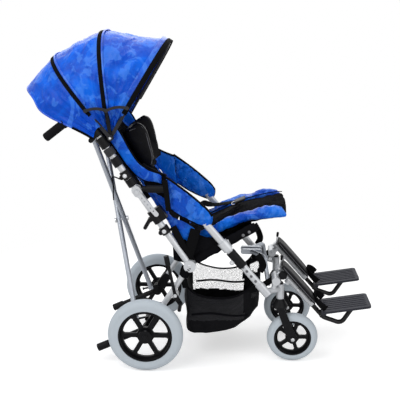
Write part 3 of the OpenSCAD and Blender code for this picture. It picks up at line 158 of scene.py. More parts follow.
class Shader:
    """A material or a world whose nodes are written as expressions."""

    def __init__(self, name: str, owner: bpy.types.World | None = None) -> None:
        """Starts an empty tree of nodes.

        Args:
            name: name of the material that is made where no owner is given.
            owner: the world that gets the nodes.
        """
        self.owner = owner or bpy.data.materials.new(name)
        self.owner.use_nodes = True
        self.tree = self.owner.node_tree
        self.tree.nodes.clear()

    def node(
        self, kind: str, settings: dict[str, object] | None = None, inputs: dict[int | str, object] | None = None,
        output: int | str = 0,
    ) -> Value:
        """Adds a node of any kind.

        Args:
            kind: the node's type.
            settings: its properties, set first.
            inputs: values or links for its sockets, by number or name.
            output: the output that is wanted.

        Returns:
            That output as a value.
        """
        made = self.tree.nodes.new(kind)
        for key, value in (settings or {}).items():
            setattr(made, key, value)
        for key, value in (inputs or {}).items():
            socket = made.inputs[key]
            if isinstance(value, Value):
                self.tree.links.new(value.socket, socket)
            elif isinstance(value, tuple) and socket.type == "RGBA":
                socket.default_value = (*value[:3], 1.0)
            else:
                socket.default_value = value
        return Value(self, made.outputs[output] if made.outputs else None)

    def place(self) -> Value:
        """Coordinates of the surface in its own object, in metres."""
        return self.node("ShaderNodeTexCoord", output="Object")

    def cloth_map(self) -> Value:
        """Coordinates that run along the cloth, in metres."""
        return self.node("ShaderNodeUVMap", {"uv_map": "cloth"})

    def stretched(self, place: Value, scale: Point) -> Value:
        """Coordinates scaled by a factor along each axis."""
        return self.node("ShaderNodeMapping", {}, {0: place, "Scale": tuple(scale)})

    def split(self, place: Value) -> tuple[Value, Value, Value]:
        """The three parts of a coordinate."""
        return tuple(self.node("ShaderNodeSeparateXYZ", {}, {0: place}, output=axis) for axis in "XYZ")

    def noise(self, place: Value, scale: float, detail: float = 3.0, rough: float = 0.5, warp: float = 0.0) -> Value:
        """Cloudy value from 0 to 1 at a number of lumps a metre."""
        return self.node(
            "ShaderNodeTexNoise", {"noise_dimensions": "3D"},
            {"Vector": place, "Scale": scale, "Detail": detail, "Roughness": rough, "Distortion": warp},
        )

    def cells(self, place: Value, scale: float, feature: str = "F1") -> Value:
        """Distance to the nearest of many scattered points."""
        return self.node("ShaderNodeTexVoronoi", {"feature": feature}, {"Vector": place, "Scale": scale})

    def mix(self, share: Number, low: Value | tuple, high: Value | tuple) -> Value:
        """Mixes two colours by a share."""
        return self.node("ShaderNodeMix", {"data_type": "RGBA"}, {0: share, 6: low, 7: high}, output=2)

    def bump(self, height: Value, strength: float, distance: float, normal: Value | None = None) -> Value:
        """Tilts the surface.

        Args:
            height: its height, which distance turns into metres.
            strength: share of the effect.
            distance: the height that 1 stands for, in metres.
            normal: a normal that is tilted already.

        Returns:
            The tilted normal.
        """
        inputs: dict[int | str, object] = {"Height": height, "Strength": strength, "Distance": distance}
        if normal is not None:
            inputs["Normal"] = normal
        return self.node("ShaderNodeBump", {}, inputs, output="Normal")

    def finish(self, **sockets: object) -> bpy.types.Material:
        """Ends the material in one Principled shader.

        Args:
            **sockets: values of the shader's sockets, with underscores for spaces.

        Returns:
            The material.
        """
        inputs = {key.replace("_", " "): value for key, value in sockets.items()}
        surface = self.node("ShaderNodeBsdfPrincipled", {}, inputs, output="BSDF")
        self.node("ShaderNodeOutputMaterial", {}, {"Surface": surface})
        return self.owner


@dataclass(frozen=True)
class Finish:
    """A finish that makes its material once."""

    name: str
    colour: Colour = (0.5, 0.5, 0.5)
    roughness: float = 0.5
    shine: float = 0.3
    slot: str = "black_fabric"

    def shade(self, shader: Shader) -> bpy.types.Material:
        """Fills a shader with the finish."""
        raise NotImplementedError

    def tone(self, factor: float, add: float = 0.0) -> tuple[float, ...]:
        """The colour, paler or darker."""
        return tuple(min(1.0, c * factor + add) for c in self.colour)

    def material(self) -> bpy.types.Material:
        """The finish's material, made at its first use."""
        label = f"{self.name}_finish"
        found = bpy.data.materials.get(label)
        return found if found else self.shade(Shader(label))


@dataclass(frozen=True)
class Paint(Finish):
    """Satin powder coat with faint orange peel, cloudy dust and rubbed patches."""

    metal: float = 0.0
    coat: float = 0.15
    scuff: Colour = (0.6, 0.6, 0.62)

    def shade(self, shader: Shader) -> bpy.types.Material:
        """Fills a shader with the finish."""
        place = shader.place()
        cloud = shader.noise(place, 9.0, 4.0, 0.6)
        peel = shader.noise(place, 900.0, 2.0)
        rub = shader.noise(place, 60.0, 6.0, 0.7, 0.6).between(0.66, 0.78)
        tone = shader.mix(cloud * 0.22, self.colour, self.tone(0.82))
        colour = shader.mix(rub * 0.35, tone, self.scuff)
        return shader.finish(
            Base_Color=colour, Metallic=self.metal, Specular_IOR_Level=self.shine,
            Roughness=cloud * 0.14 + rub * 0.12 + (self.roughness - 0.07), Coat_Weight=self.coat, Coat_Roughness=0.18,
            Normal=shader.bump(peel + rub * 0.4, 0.12, 0.0004),
        )


@dataclass(frozen=True)
class Plastic(Finish):
    """Moulded plastic with a fine spark-eroded grain and handling marks."""

    slot: str = "black_plastic"
    grain: float = 1400.0
    depth: float = 0.25

    def shade(self, shader: Shader) -> bpy.types.Material:
        """Fills a shader with the finish."""
        place = shader.place()
        grain = shader.cells(place, self.grain)
        cloud = shader.noise(place, 30.0, 5.0, 0.6)
        marks = shader.noise(shader.stretched(place, (60.0, 400.0, 60.0)), 1.0, 4.0, 0.7).between(0.68, 0.8)
        colour = shader.mix(cloud * 0.5, self.colour, self.tone(1.5, 0.001))
        return shader.finish(
            Base_Color=shader.mix(marks * 0.12, colour, (0.08, 0.08, 0.085)), Specular_IOR_Level=self.shine,
            Roughness=cloud * 0.16 + marks * 0.12 + (self.roughness - 0.08),
            Normal=shader.bump(grain, self.depth, 0.0003),
        )


@dataclass(frozen=True)
class Rubber(Finish):
    """Solid tyre with mould lines, scuffs on its tread and a bloom of dust."""

    def shade(self, shader: Shader) -> bpy.types.Material:
        """Fills a shader with the finish."""
        place = shader.place()
        cloud = shader.noise(place, 16.0, 5.0, 0.65)
        speck = shader.noise(place, 260.0, 3.0, 0.6)
        scuff = shader.noise(place, 42.0, 6.0, 0.75, 0.8).between(0.6, 0.74)
        _, _, height = shader.split(place)
        # The tyre turns darker and greyer within 20 mm of the floor.
        painted_sheen_and_floor_band = (1.0 - height.between(0.0, 0.02)) * 0.6
        colour = shader.mix(cloud * 0.3, self.colour, self.tone(0.86))
        colour = shader.mix(scuff * 0.3, colour, (0.30, 0.32, 0.34))
        colour = shader.mix(painted_sheen_and_floor_band, colour, (0.40, 0.42, 0.44))
        return shader.finish(
            Base_Color=colour, Specular_IOR_Level=self.shine, Roughness=speck * 0.14 + (self.roughness - 0.05),
            Normal=shader.bump(speck + scuff * 1.4, 0.3, 0.0006),
        )


@dataclass(frozen=True)
class Foam(Finish):
    """Closed-cell foam or moulded rubber with fine pores."""

    def shade(self, shader: Shader) -> bpy.types.Material:
        """Fills a shader with the finish."""
        place = shader.place()
        pores = shader.cells(place, 900.0)
        cloud = shader.noise(place, 40.0, 4.0)
        return shader.finish(
            Base_Color=shader.mix(cloud * 0.6, self.colour, self.tone(1.8)), Specular_IOR_Level=self.shine * 0.5,
            Roughness=cloud * 0.12 + self.roughness, Normal=shader.bump(pores + cloud * 0.6, 0.4, 0.0005),
        )


@dataclass(frozen=True)
class Steel(Finish):
    """Plated or bare metal, lightly brushed round its turned faces."""

    slot: str = "zinc"
    metal: float = 1.0

    def shade(self, shader: Shader) -> bpy.types.Material:
        """Fills a shader with the finish."""
        place = shader.place()
        brushed = shader.noise(shader.stretched(place, (30.0, 900.0, 30.0)), 1.0, 3.0)
        cloud = shader.noise(place, 50.0, 4.0, 0.6)
        return shader.finish(
            Base_Color=shader.mix(cloud * 0.4, self.colour, self.tone(0.7)), Metallic=self.metal,
            Roughness=brushed * 0.16 + cloud * 0.1 + (self.roughness - 0.1),
            Normal=shader.bump(brushed, 0.08, 0.0002),
        )


@dataclass(frozen=True)
class Nylon(Finish):
    """Coated nylon: plain weave under a glossy film, with small creases, painted shade and light in soft patches, and
    painted highlight patches.
    """

    slot: str = "blue_nylon"
    # deep is painted shade: the dark blue of the shaded patches.
    deep: Colour = (0.0, 0.02, 0.3)
    coat: float = 0.3
    creases: float = 0.55
    thread: float = 1500.0

    def shade(self, shader: Shader) -> bpy.types.Material:
        """Fills a shader with the finish."""
        place = shader.place()
        along, across, up = shader.split(place)
        weave = (along * self.thread).sine() * (up * self.thread).sine() + (across * self.thread).sine() * 0.5
        soft = shader.noise(place, 7.0, 3.0, 0.55, 0.6)
        wrinkle = shader.noise(shader.stretched(place, (1.0, 0.6, 0.8)), 24.0, 4.0, 0.55, 1.6)
        crease = 1.0 - (abs(wrinkle - 0.5) * 9.0).lowest(1.0)
        fine = shader.noise(place, 90.0, 3.0, 0.5, 0.9)
        # Painted shade and light: soft patches run from the dark deep colour to the lit colour.
        painted_light_patch = soft.between(0.42, 0.60)
        colour = shader.mix(painted_light_patch, self.deep, self.colour)
        # Painted highlight: paler blue patches stand in for reflections on the glossy film.
        painted_sheen_and_floor_band = shader.noise(shader.stretched(place, (1.0, 1.0, 0.7)), 15.0, 3.0, 0.5, 1.8).between(0.53, 0.60)
        colour = shader.mix(painted_sheen_and_floor_band * 0.42, colour, (0.07, 0.26, 0.84))
        colour = shader.mix(crease * 0.1, colour, self.tone(1.4, 0.015))
        folds = shader.bump(wrinkle + crease * 0.1 + fine * 0.1, self.creases, 0.012)
        return shader.finish(
            Base_Color=colour, Specular_IOR_Level=self.shine,
            Roughness=fine * 0.1 + painted_light_patch * 0.06 + (self.roughness - 0.08), Coat_Weight=self.coat, Coat_Roughness=0.28,
            Normal=shader.bump(weave, 0.12, 0.0002, folds),
        )


@dataclass(frozen=True)
class Cloth(Finish):
    """Woven black cloth or padded spacer fabric, with lint and creases."""

    thread: float = 2200.0
    depth: float = 0.5
    lint: float = 0.2

    def shade(self, shader: Shader) -> bpy.types.Material:
        """Fills a shader with the finish."""
        place = shader.place()
        along, across, up = shader.split(place)
        weave = (along * self.thread).sine() * (across * self.thread).sine() + (up * self.thread).sine() * 0.6
        wrinkle = shader.noise(place, 18.0, 4.0, 0.6, 1.2)
        lint = shader.noise(place, 300.0, 4.0, 0.8).between(0.62, 0.8)
        colour = shader.mix(wrinkle * 0.7, self.colour, self.tone(1.6, 0.001))
        folds = shader.bump(wrinkle, 0.4, 0.008)
        return shader.finish(
            Base_Color=shader.mix(lint * self.lint, colour, (0.06, 0.06, 0.065)), Specular_IOR_Level=self.shine * 0.4,
            Roughness=wrinkle * 0.12 + self.roughness, Normal=shader.bump(weave, self.depth, 0.0003, folds),
        )


@dataclass(frozen=True)
class Webbing(Finish):
    """Woven strap with ribs along its length and a paler rubbed edge."""

    rib: float = 2600.0

    def shade(self, shader: Shader) -> bpy.types.Material:
        """Fills a shader with the finish."""
        run, over, _ = shader.split(shader.cloth_map())
        ribs = (over * self.rib).sine()
        pick = (run * self.rib * 1.3 + (over * self.rib * 0.5).sine() * 1.5).sine()
        fuzz = shader.noise(shader.place(), 220.0, 4.0, 0.7)
        return shader.finish(
            Base_Color=shader.mix(fuzz * 0.5, self.colour, self.tone(1.8, 0.001)),
            Specular_IOR_Level=self.shine * 0.5, Roughness=fuzz * 0.15 + self.roughness,
            Normal=shader.bump(ribs * 0.6 + pick * 0.5, 0.35, 0.0005),
        )


@dataclass(frozen=True)
class Leatherette(Finish):
    """Embossed leather-like cover with pebbled grain and fine stretch creases."""

    slot: str = "black_leatherette"
    grain: float = 520.0

    def shade(self, shader: Shader) -> bpy.types.Material:
        """Fills a shader with the finish."""
        place = shader.place()
        pebble = shader.cells(shader.stretched(place, (1.0, 1.2, 0.9)), self.grain)
        vein = shader.cells(place, self.grain * 0.5, "DISTANCE_TO_EDGE").between(0.0, 0.12)
        cloud = shader.noise(place, 14.0, 4.0, 0.6, 0.5)
        folds = shader.bump(cloud, 0.3, 0.01)
        return shader.finish(
            Base_Color=shader.mix(cloud * 0.6, self.colour, self.tone(1.6, 0.001)), Specular_IOR_Level=self.shine,
            Roughness=cloud * 0.18 + (self.roughness - 0.06),
            Normal=shader.bump(pebble * 0.7 + vein * 0.6, 0.3, 0.0005, folds),
        )


@dataclass(frozen=True)
class Netting(Finish):
    """Open knitted net: holes between crossing threads, by the cloth's own coordinates."""

    pitch: float = 0.0032
    share: float = 0.6

    def shade(self, shader: Shader) -> bpy.types.Material:
        """Fills a shader with the finish."""
        run, over, _ = shader.split(shader.cloth_map())
        turn = math.tau / self.pitch
        first = (run * turn + over * turn * 0.58).sine()
        second = (run * turn - over * turn * 0.58).sine()
        third = (over * turn * 1.16).sine()
        thread = abs(first).lowest(abs(second)).lowest(abs(third))
        solid = 1.0 - thread.above(self.share * 0.36)
        fuzz = shader.noise(shader.place(), 120.0, 3.0)
        return shader.finish(
            Base_Color=shader.mix(fuzz * 0.5, self.colour, self.tone(1.8)), Specular_IOR_Level=self.shine * 0.4,
            Roughness=fuzz * 0.1 + self.roughness, Alpha=solid, Normal=shader.bump(thread, 0.3, 0.0005),
        )


class Palette:
    """Every finish of the stroller."""

    silver = Paint("silver_paint", (0.60, 0.615, 0.64), 0.34, metal=0.35, coat=0.3, scuff=(0.42, 0.43, 0.45))
    strut = Paint("grey_strut", (0.42, 0.45, 0.50), 0.33, metal=0.55, coat=0.25, scuff=(0.3, 0.32, 0.35))
    cast = Paint("cast_silver", (0.56, 0.575, 0.60), 0.4, metal=0.45, coat=0.1, scuff=(0.36, 0.37, 0.39))
    black_coat = Paint("black_tube", (0.006, 0.006, 0.007), 0.36, 0.16, metal=0.0, coat=0.2, scuff=(0.06, 0.06, 0.065))
    plastic = Plastic("black_plastic", (0.005, 0.005, 0.006), 0.42, 0.12)
    wheel = Plastic("wheel_plastic", (0.004, 0.004, 0.005), 0.33, 0.12, depth=0.12)
    plate = Plastic("footplate_plastic", (0.024, 0.025, 0.033), 0.46, 0.12, depth=0.35)
    charcoal = Plastic("charcoal_plastic", (0.024, 0.024, 0.028), 0.46, 0.12)
    ribbed = Plastic("grey_fitting", (0.04, 0.041, 0.046), 0.5, 0.08)
    tyre = Rubber("grey_tyre", (0.50, 0.555, 0.605), 0.55)
    foam = Foam("grip_foam", (0.007, 0.007, 0.008), 0.78, 0.12)
    zinc = Steel("zinc", (0.62, 0.63, 0.65), 0.34)
    dark_steel = Steel("dark_steel", (0.16, 0.16, 0.17), 0.4)
    # Each nylon's deep colour is painted shade, used in its darker patches.
    nylon = Nylon("blue_nylon", (0.0, 0.135, 0.68), 0.36, 0.14, deep=(0.0, 0.058, 0.46), coat=0.05, creases=0.8)
    hood_nylon = Nylon("hood_nylon", (0.0, 0.125, 0.74), 0.32, 0.12, deep=(0.0, 0.06, 0.50), coat=0.05, creases=0.3)
    edge_nylon = Nylon("blue_edging", (0.0, 0.12, 0.72), 0.34, 0.22, deep=(0.0, 0.06, 0.5), creases=0.2)
    fabric = Cloth("black_fabric", (0.004, 0.004, 0.005), 0.72, 0.05)
    spacer = Cloth("spacer_fabric", (0.005, 0.005, 0.006), 0.78, 0.05, thread=1300.0, depth=0.8)
    basket = Cloth("basket_fabric", (0.004, 0.004, 0.005), 0.5, 0.12, lint=0.12)
    binding = Cloth("black_binding", (0.003, 0.003, 0.004), 0.6, 0.04, thread=3000.0, lint=0.1)
    webbing = Webbing("black_webbing", (0.004, 0.004, 0.0045), 0.66, 0.05)
    leather = Leatherette("black_leatherette", (0.005, 0.005, 0.006), 0.42, 0.08)
    net = Netting("grey_net", (0.03, 0.03, 0.034), 0.7, 0.2)
    trim = Webbing("grey_piping", (0.09, 0.09, 0.10), 0.5, slot="black_leatherette")


@dataclass(frozen=True)
class Layout:
    """The frame's lines in the side view, from which every soft piece takes its place."""

    shift: float
    seat: tuple[float, float] = (168.0, 408.0)
    back_slope: float = 56.0
    rail_slope: float = 30.5
    leg_foot: tuple[float, float] = (459.0, 303.0)
    leg_slope: float = 49.5
    knee: tuple[float, float] = (498.0, 346.0)
    rest_slope: float = 48.5
    rest_off: float = 34.0
    stub: float = 24.0
    rest_length: float = 256.0
    plate_slope: float = 9.0
    side_y: float = 208.0
    rail_y: float = 181.0
    hood_t: float = 569.0
    hood_off: float = 34.0

    @staticmethod
    def _along(start: Point, slope: float, t: float, off: float, forward: int, y: float) -> Vector:
        """Point at a distance t along a line of a slope, with an offset to its upper side.

        Args:
            start: the line's start.
            slope: its slope in degrees.
            t: distance along it.
            off: offset from it.
            forward: 1 where it rises forward, -1 where it rises backward.
            y: place across the stroller.

        Returns:
            The point.
        """
        c, s = math.cos(math.radians(slope)), math.sin(math.radians(slope))
        return Vector((start[0] + forward * c * t - forward * s * off, y, start[1] + s * t + c * off))

    def back(self, t: float, off: float = 0.0, y: float = 0.0) -> Vector:
        """Point up the back tube, offset towards the seat."""
        return self._along(self.seat, self.back_slope, t, off, -1, y)

    def rail(self, t: float, off: float = 0.0, y: float = 0.0) -> Vector:
        """Point forward along the seat rail, offset up."""
        return self._along(self.seat, self.rail_slope, t, off, 1, y)

    def leg(self, t: float, off: float = 0.0, y: float = 0.0) -> Vector:
        """Point up the front leg, offset forward."""
        return self._along(self.leg_foot, self.leg_slope, t, off, -1, y)

    def rest(self, t: float, off: float = 0.0, y: float = 0.0) -> Vector:
        """Point down a leg rest, offset forward."""
        c, s = math.cos(math.radians(self.rest_slope)), math.sin(math.radians(self.rest_slope))
        out, down = self.rest_off + off, t - self.stub
        return Vector((self.knee[0] + s * out + c * down, y, self.knee[1] + c * out - s * down))

    def plate(self, t: float, off: float = 0.0, y: float = 0.0) -> Vector:
        """Point forward along a footplate, offset up."""
        rear = self.rest(self.rest_length - 26.0, 20.0)
        return self._along((rear.x, rear.z), self.plate_slope, t, off, 1, y)

    @property
    def pivot(self) -> Vector:
        """Middle of the hood's pivots."""
        return self.back(self.hood_t, self.hood_off)

    def row(self, p: Point) -> Vector:
        """A point in millimetres as the frame's metres."""
        return Vector(((p[0] - self.shift) * 0.001, p[1] * 0.001, p[2] * 0.001))


def mix(a: float, b: float, share: float) -> float:
    """Number at a share of the way from a to b."""
    return a + (b - a) * share


def smooth(u: float) -> float:
    """Smooth step from 0 to 1."""
    w = max(0.0, min(1.0, u))
    return w * w * (3.0 - 2.0 * w)


def crown(u: float, rim: float) -> float:
    """Fullness of a pillow from its edges at 0 and 1 to its middle."""
    return math.sqrt(max(0.0, 1.0 - abs(2.0 * u - 1.0) ** (1.0 / rim)))


def track(points: Line, u: float) -> float:
    """Second value at a place u on a smooth curve through points of place and value."""
    if u <= points[0][0]:
        return points[0][1]
    slopes = [(q - p) / (b - a) for (a, p), (b, q) in zip(points, points[1:])]
    slopes = [slopes[0], *slopes, slopes[-1]]
    for i, ((a, p), (b, q)) in enumerate(zip(points, points[1:])):
        if u <= b:
            t, w = (u - a) / (b - a), b - a
            start, end = (slopes[i] + slopes[i + 1]) / 2, (slopes[i + 1] + slopes[i + 2]) / 2
            bend = (1 - t) * t * w * (start * (1 - t) - end * t)
            return mix(p, q, smooth(t)) + bend
    return points[-1][1]


def spline(points: Line, count: int) -> list[Vector]:
    """Smooth line through points.

    Args:
        points: the points that it passes.
        count: how many places it has between two of them.

    Returns:
        The line's places.
    """
    p = [Vector(q) for q in points]
    p = [p[0] * 2 - p[1], *p, p[-1] * 2 - p[-2]]
    line = []
    for a, b, c, d in zip(p, p[1:], p[2:], p[3:]):
        for t in (i / count for i in range(count)):
            line.append(0.5 * (2 * b + (c - a) * t + (2 * a - 5 * b + 4 * c - d) * t * t + (3 * b - a - 3 * c + d) * t**3))
    return [*line, p[-2].copy()]


def fbm(p: Point, octaves: int = 3) -> float:
    """Seeded cloudy noise from about -1 to 1."""
    total, size, scale = 0.0, 1.0, 1.0
    for _ in range(octaves):
        total += size * noise.noise(Vector(p) * scale)
        size *= 0.5
        scale *= 2.03
    return total


def between(top: Sequence[Vector], low: Sequence[Vector], u: float, v: float) -> tuple[float, float]:
    """Point at a share u along two curves of as many places, and v of the way from the first to the second."""
    i = round(u * (len(top) - 1))
    return mix(top[i].x, low[i].x, v), mix(top[i].y, low[i].y, v)


def quads(
    rows: int, columns: int, wrap: bool = False, ring: bool = False, base: int = 0, flip: bool = False
) -> list[list[int]]:
    """Faces between rows of points.

    Args:
        rows: how many rows there are.
        columns: how many points a row has.
        wrap: whether each row closes on itself.
        ring: whether the last row joins the first.
        base: number of the first point.
        flip: whether the faces look the other way.

    Returns:
        The corners of each face.
    """
    faces = []
    for i in range(rows if ring else rows - 1):
        a, b = base + i * columns, base + (i + 1) % rows * columns
        for j in range(columns if wrap else columns - 1):
            k = (j + 1) % columns
            faces.append([a + j, b + j, b + k, a + k] if flip else [a + j, a + k, b + k, b + j])
    return faces


def lids(rows: int, columns: int) -> list[list[int]]:
    """Faces that close both ends of a tube made of rows of points."""
    return [list(range(columns))[::-1], [(rows - 1) * columns + j for j in range(columns)]]


def round_section(radius: float, sides: int = 12) -> list[tuple[float, float]]:
    """Corners of a round section."""
    return [(radius * math.cos(math.tau * i / sides), radius * math.sin(math.tau * i / sides)) for i in range(sides)]


def flat_section(width: float, thickness: float) -> list[tuple[float, float]]:
    """Corners of a strap's section: flat, with rounded edges.

    Args:
        width: the strap's width.
        thickness: its thickness.

    Returns:
        The corners, as across and out.
    """
    w, t = width / 2, thickness / 2
    r = min(t, w)
    points = []
    for sign in (1, -1):
        for i in range(5):
            a = -math.pi / 2 + math.pi * i / 4
            points.append((sign * (w - r + r * math.cos(a)), sign * r * math.sin(a)))
        points.append((0.0, sign * t))
    return points


@dataclass
class Piece:
    """Makes mesh objects from lengths in millimetres, which its layout turns into the frame's metres."""

    at: Layout

    def mesh(
        self, name: str, points: Iterable[Point], faces: Sequence[Sequence[int]], finish: Finish, body: str | None,
        uv: Line | None = None, slot: str | None = "", second: Finish | None = None,
        which: Callable[[Vector], int] | None = None,
    ) -> Thing:
        """Makes a mesh object that rides on a body.

        Args:
            name: the piece's name.
            points: its corners, in millimetres.
            faces: its faces.
            finish: its finish.
            body: the body that it rides on.
            uv: coordinates of each corner along the cloth, in metres.
            slot: not used.
            second: another finish that some of its faces have.
            which: tells by a face's middle, in millimetres, whether it has the second finish.

        Returns:
            The object.
        """
        data = bpy.data.meshes.new(name)
        corners = [Vector(p) for p in points]
        data.from_pydata([self.at.row(p) for p in corners], [], [list(f) for f in faces])
        data.materials.append(finish.material())
        if uv is not None:
            layer = data.uv_layers.new(name="cloth")
            for loop in data.loops:
                layer.data[loop.index].uv = uv[loop.vertex_index]
        if second is not None:
            data.materials.append(second.material())
            for poly in data.polygons:
                poly.material_index = which(sum((corners[i] for i in poly.vertices), Vector()) / len(poly.vertices))
        data.polygons.foreach_set("use_smooth", [True] * len(data.polygons))
        data.update()
        made = bpy.data.objects.new(name, data)
        bpy.context.scene.collection.objects.link(made)
        if body is not None:
            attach(made, body)
        if slot is not None:
            slot or finish.slot
        LOG.info("%s rides on %s with %d faces", name, body, len(data.polygons))
        return made

    def sweep(
        self, name: str, line: Line, section: Line, finish: Finish, body: str, normals: Line | Point | None = None,
        scale: Callable[[float], float] | None = None, closed: bool = False, **more: object,
    ) -> Thing:
        """Draws a section along a line.

        Args:
            name: the piece's name.
            line: places along it, in millimetres.
            section: the section's corners as across and out, in millimetres.
            finish: its finish.
            body: the body that it rides on.
            normals: the direction of out at each place, or one for all.
            scale: the section's size at a share of the line.
            closed: whether the line is a loop.
            **more: what mesh takes.

        Returns:
            The object.
        """
        p = [Vector(q) for q in line]
        n, m = len(p), len(section)
        length, around = run_of(p), run_of(section)
        out, points, uv = None, [], []
        for i in range(n):
            before = p[i - 1] if i or closed else p[i]
            after = p[(i + 1) % n] if i < n - 1 or closed else p[i]
            run = (after - before).normalized()
            if normals is not None:
                out = Vector(normals[i] if hasattr(normals[0], "__len__") else normals)
            elif out is None:
                out = run.orthogonal()
            out = (out - run * out.dot(run)).normalized()
            across = run.cross(out)
            size = scale(length[i] / length[-1]) if scale else 1.0
            points += [p[i] + across * (a * size) + out * (b * size) for a, b in section]
            uv += [(length[i] * 0.001, a * 0.001) for a in around]
        faces = quads(n, m, wrap=True, ring=closed) + ([] if closed else lids(n, m))
        return self.mesh(name, points, faces, finish, body, uv, **more)

    def tube(
        self, name: str, line: Line, diameter: float, finish: Finish, body: str, sides: int = 8, **more: object
    ) -> Thing:
        """A round tube, cord or piping along a line."""
        return self.sweep(name, line, round_section(diameter / 2, sides), finish, body, **more)

    def strap(
        self, name: str, line: Line, width: float, finish: Finish, body: str, normals: Line | Point,
        thickness: float = 2.4,
    ) -> Thing:
        """A flat strap, tape or binding along a line, whose face looks along normals."""
        return self.sweep(name, line, flat_section(width, thickness), finish, body, normals)

    def turned(
        self, name: str, start: Point, direction: Point, profile: Line, finish: Finish, body: str, sides: int = 24,
        **more: object,
    ) -> Thing:
        """A turned part, with its creases kept sharp.

        Args:
            name: the piece's name.
            start: the axis's start.
            direction: its direction.
            profile: places as distance along it and radius.
            finish: its finish.
            body: the body that it rides on.
            sides: facets around it; 6 makes a nut.
            **more: what mesh takes.

        Returns:
            The object.
        """
        axis = Vector(direction).normalized()
        out = axis.orthogonal().normalized()
        side = axis.cross(out)
        around = [out * c + side * s for c, s in round_section(1.0, sides)]
        points = [Vector(start) + axis * d + spoke * r for d, r in profile for spoke in around]
        faces = quads(len(profile), sides, wrap=True) + lids(len(profile), sides)
        made = self.mesh(name, points, faces, finish, body, **more)
        turn_out(made, 35.0)
        return made

    def form(
        self, name: str, size: tuple[int, int], point: Callable[[float, float], Cell], finish: Finish, body: str | None
    ) -> Thing:
        """A sheet or a closed form from a rule for its points.

        Args:
            name: the piece's name.
            size: how many faces it has along and across.
            point: gives the front point at shares along and across, and the back one where the form is closed.
            finish: its finish.
            body: the body that it rides on.

        Returns:
            The object.
        """
        nu, nv = size[0] + 1, size[1] + 1
        cells = [[point(i / size[0], j / size[1]) for j in range(nv)] for i in range(nu)]
        layers = [[[cell[k] for cell in row] for row in cells] for k in range(len(cells[0][0]))]
        points = [p for rows in layers for row in rows for p in row]
        uv = [place for rows in layers for place in grid_uv(rows)]
        faces = quads(nu, nv)
        if len(layers) == 1:
            return self.mesh(name, points, faces, finish, body, uv)
        base = nu * nv
        edge = [*range(nv), *(i * nv + nv - 1 for i in range(1, nu))]
        edge += [*((nu - 1) * nv + j for j in range(nv - 2, -1, -1)), *(i * nv for i in range(nu - 2, 0, -1))]
        faces += quads(nu, nv, base=base, flip=True)
        faces += [[a, base + a, base + b, b] for a, b in zip(edge, edge[1:] + edge[:1])]
        made = self.mesh(name, points, faces, finish, body, uv)
        turn_out(made)
        return made


def run_of(line: Line) -> list[float]:
    """Distance along a line at each of its places."""
    run = [0.0]
    for a, b in zip(line, line[1:]):
        run.append(run[-1] + math.dist(a, b))
    return run


def grid_uv(rows: Sequence[Line]) -> list[tuple[float, float]]:
    """Coordinates along a sheet, in metres, from the length of its middle row and column."""
    across, down = run_of(rows[len(rows) // 2]), run_of([row[len(row) // 2] for row in rows])
    return [(u * 0.001, v * 0.001) for v in down for u in across]


def turn_out(made: Thing, sharp: float | None = None) -> None:
    """Turns every face outward.

    Args:
        made: the piece.
        sharp: angle in degrees from which an edge stays sharp; without it, corners that meet are merged.
    """
    work = bmesh.new()
    work.from_mesh(made.data)
    if sharp is None:
        bmesh.ops.remove_doubles(work, verts=work.verts, dist=1e-5)
    bmesh.ops.recalc_face_normals(work, faces=work.faces)
    for edge in work.edges if sharp else ():
        edge.smooth = not (edge.is_manifold and edge.calc_face_angle(0.0) > math.radians(sharp))
    work.to_mesh(made.data)
    work.free()


def dents(size: Point, octaves: int, height: float) -> Height:
    """A rule for soft dents of some size along each axis and some height, in millimetres."""
    return lambda p, _: fbm((p.x / size[0], p.y / size[1], p.z / size[2]), octaves) * height


def apply_modifiers(made: Thing) -> None:
    """Turns a piece's modifiers into its mesh."""
    depsgraph = bpy.context.evaluated_depsgraph_get()
    data = bpy.data.meshes.new_from_object(made.evaluated_get(depsgraph))
    made.modifiers.clear()
    made.data = data


def subdivide(made: Thing) -> None:
    """Subdivides and smooths a piece's mesh."""
    made.modifiers.new("round", "SUBSURF").levels = 1
    apply_modifiers(made)


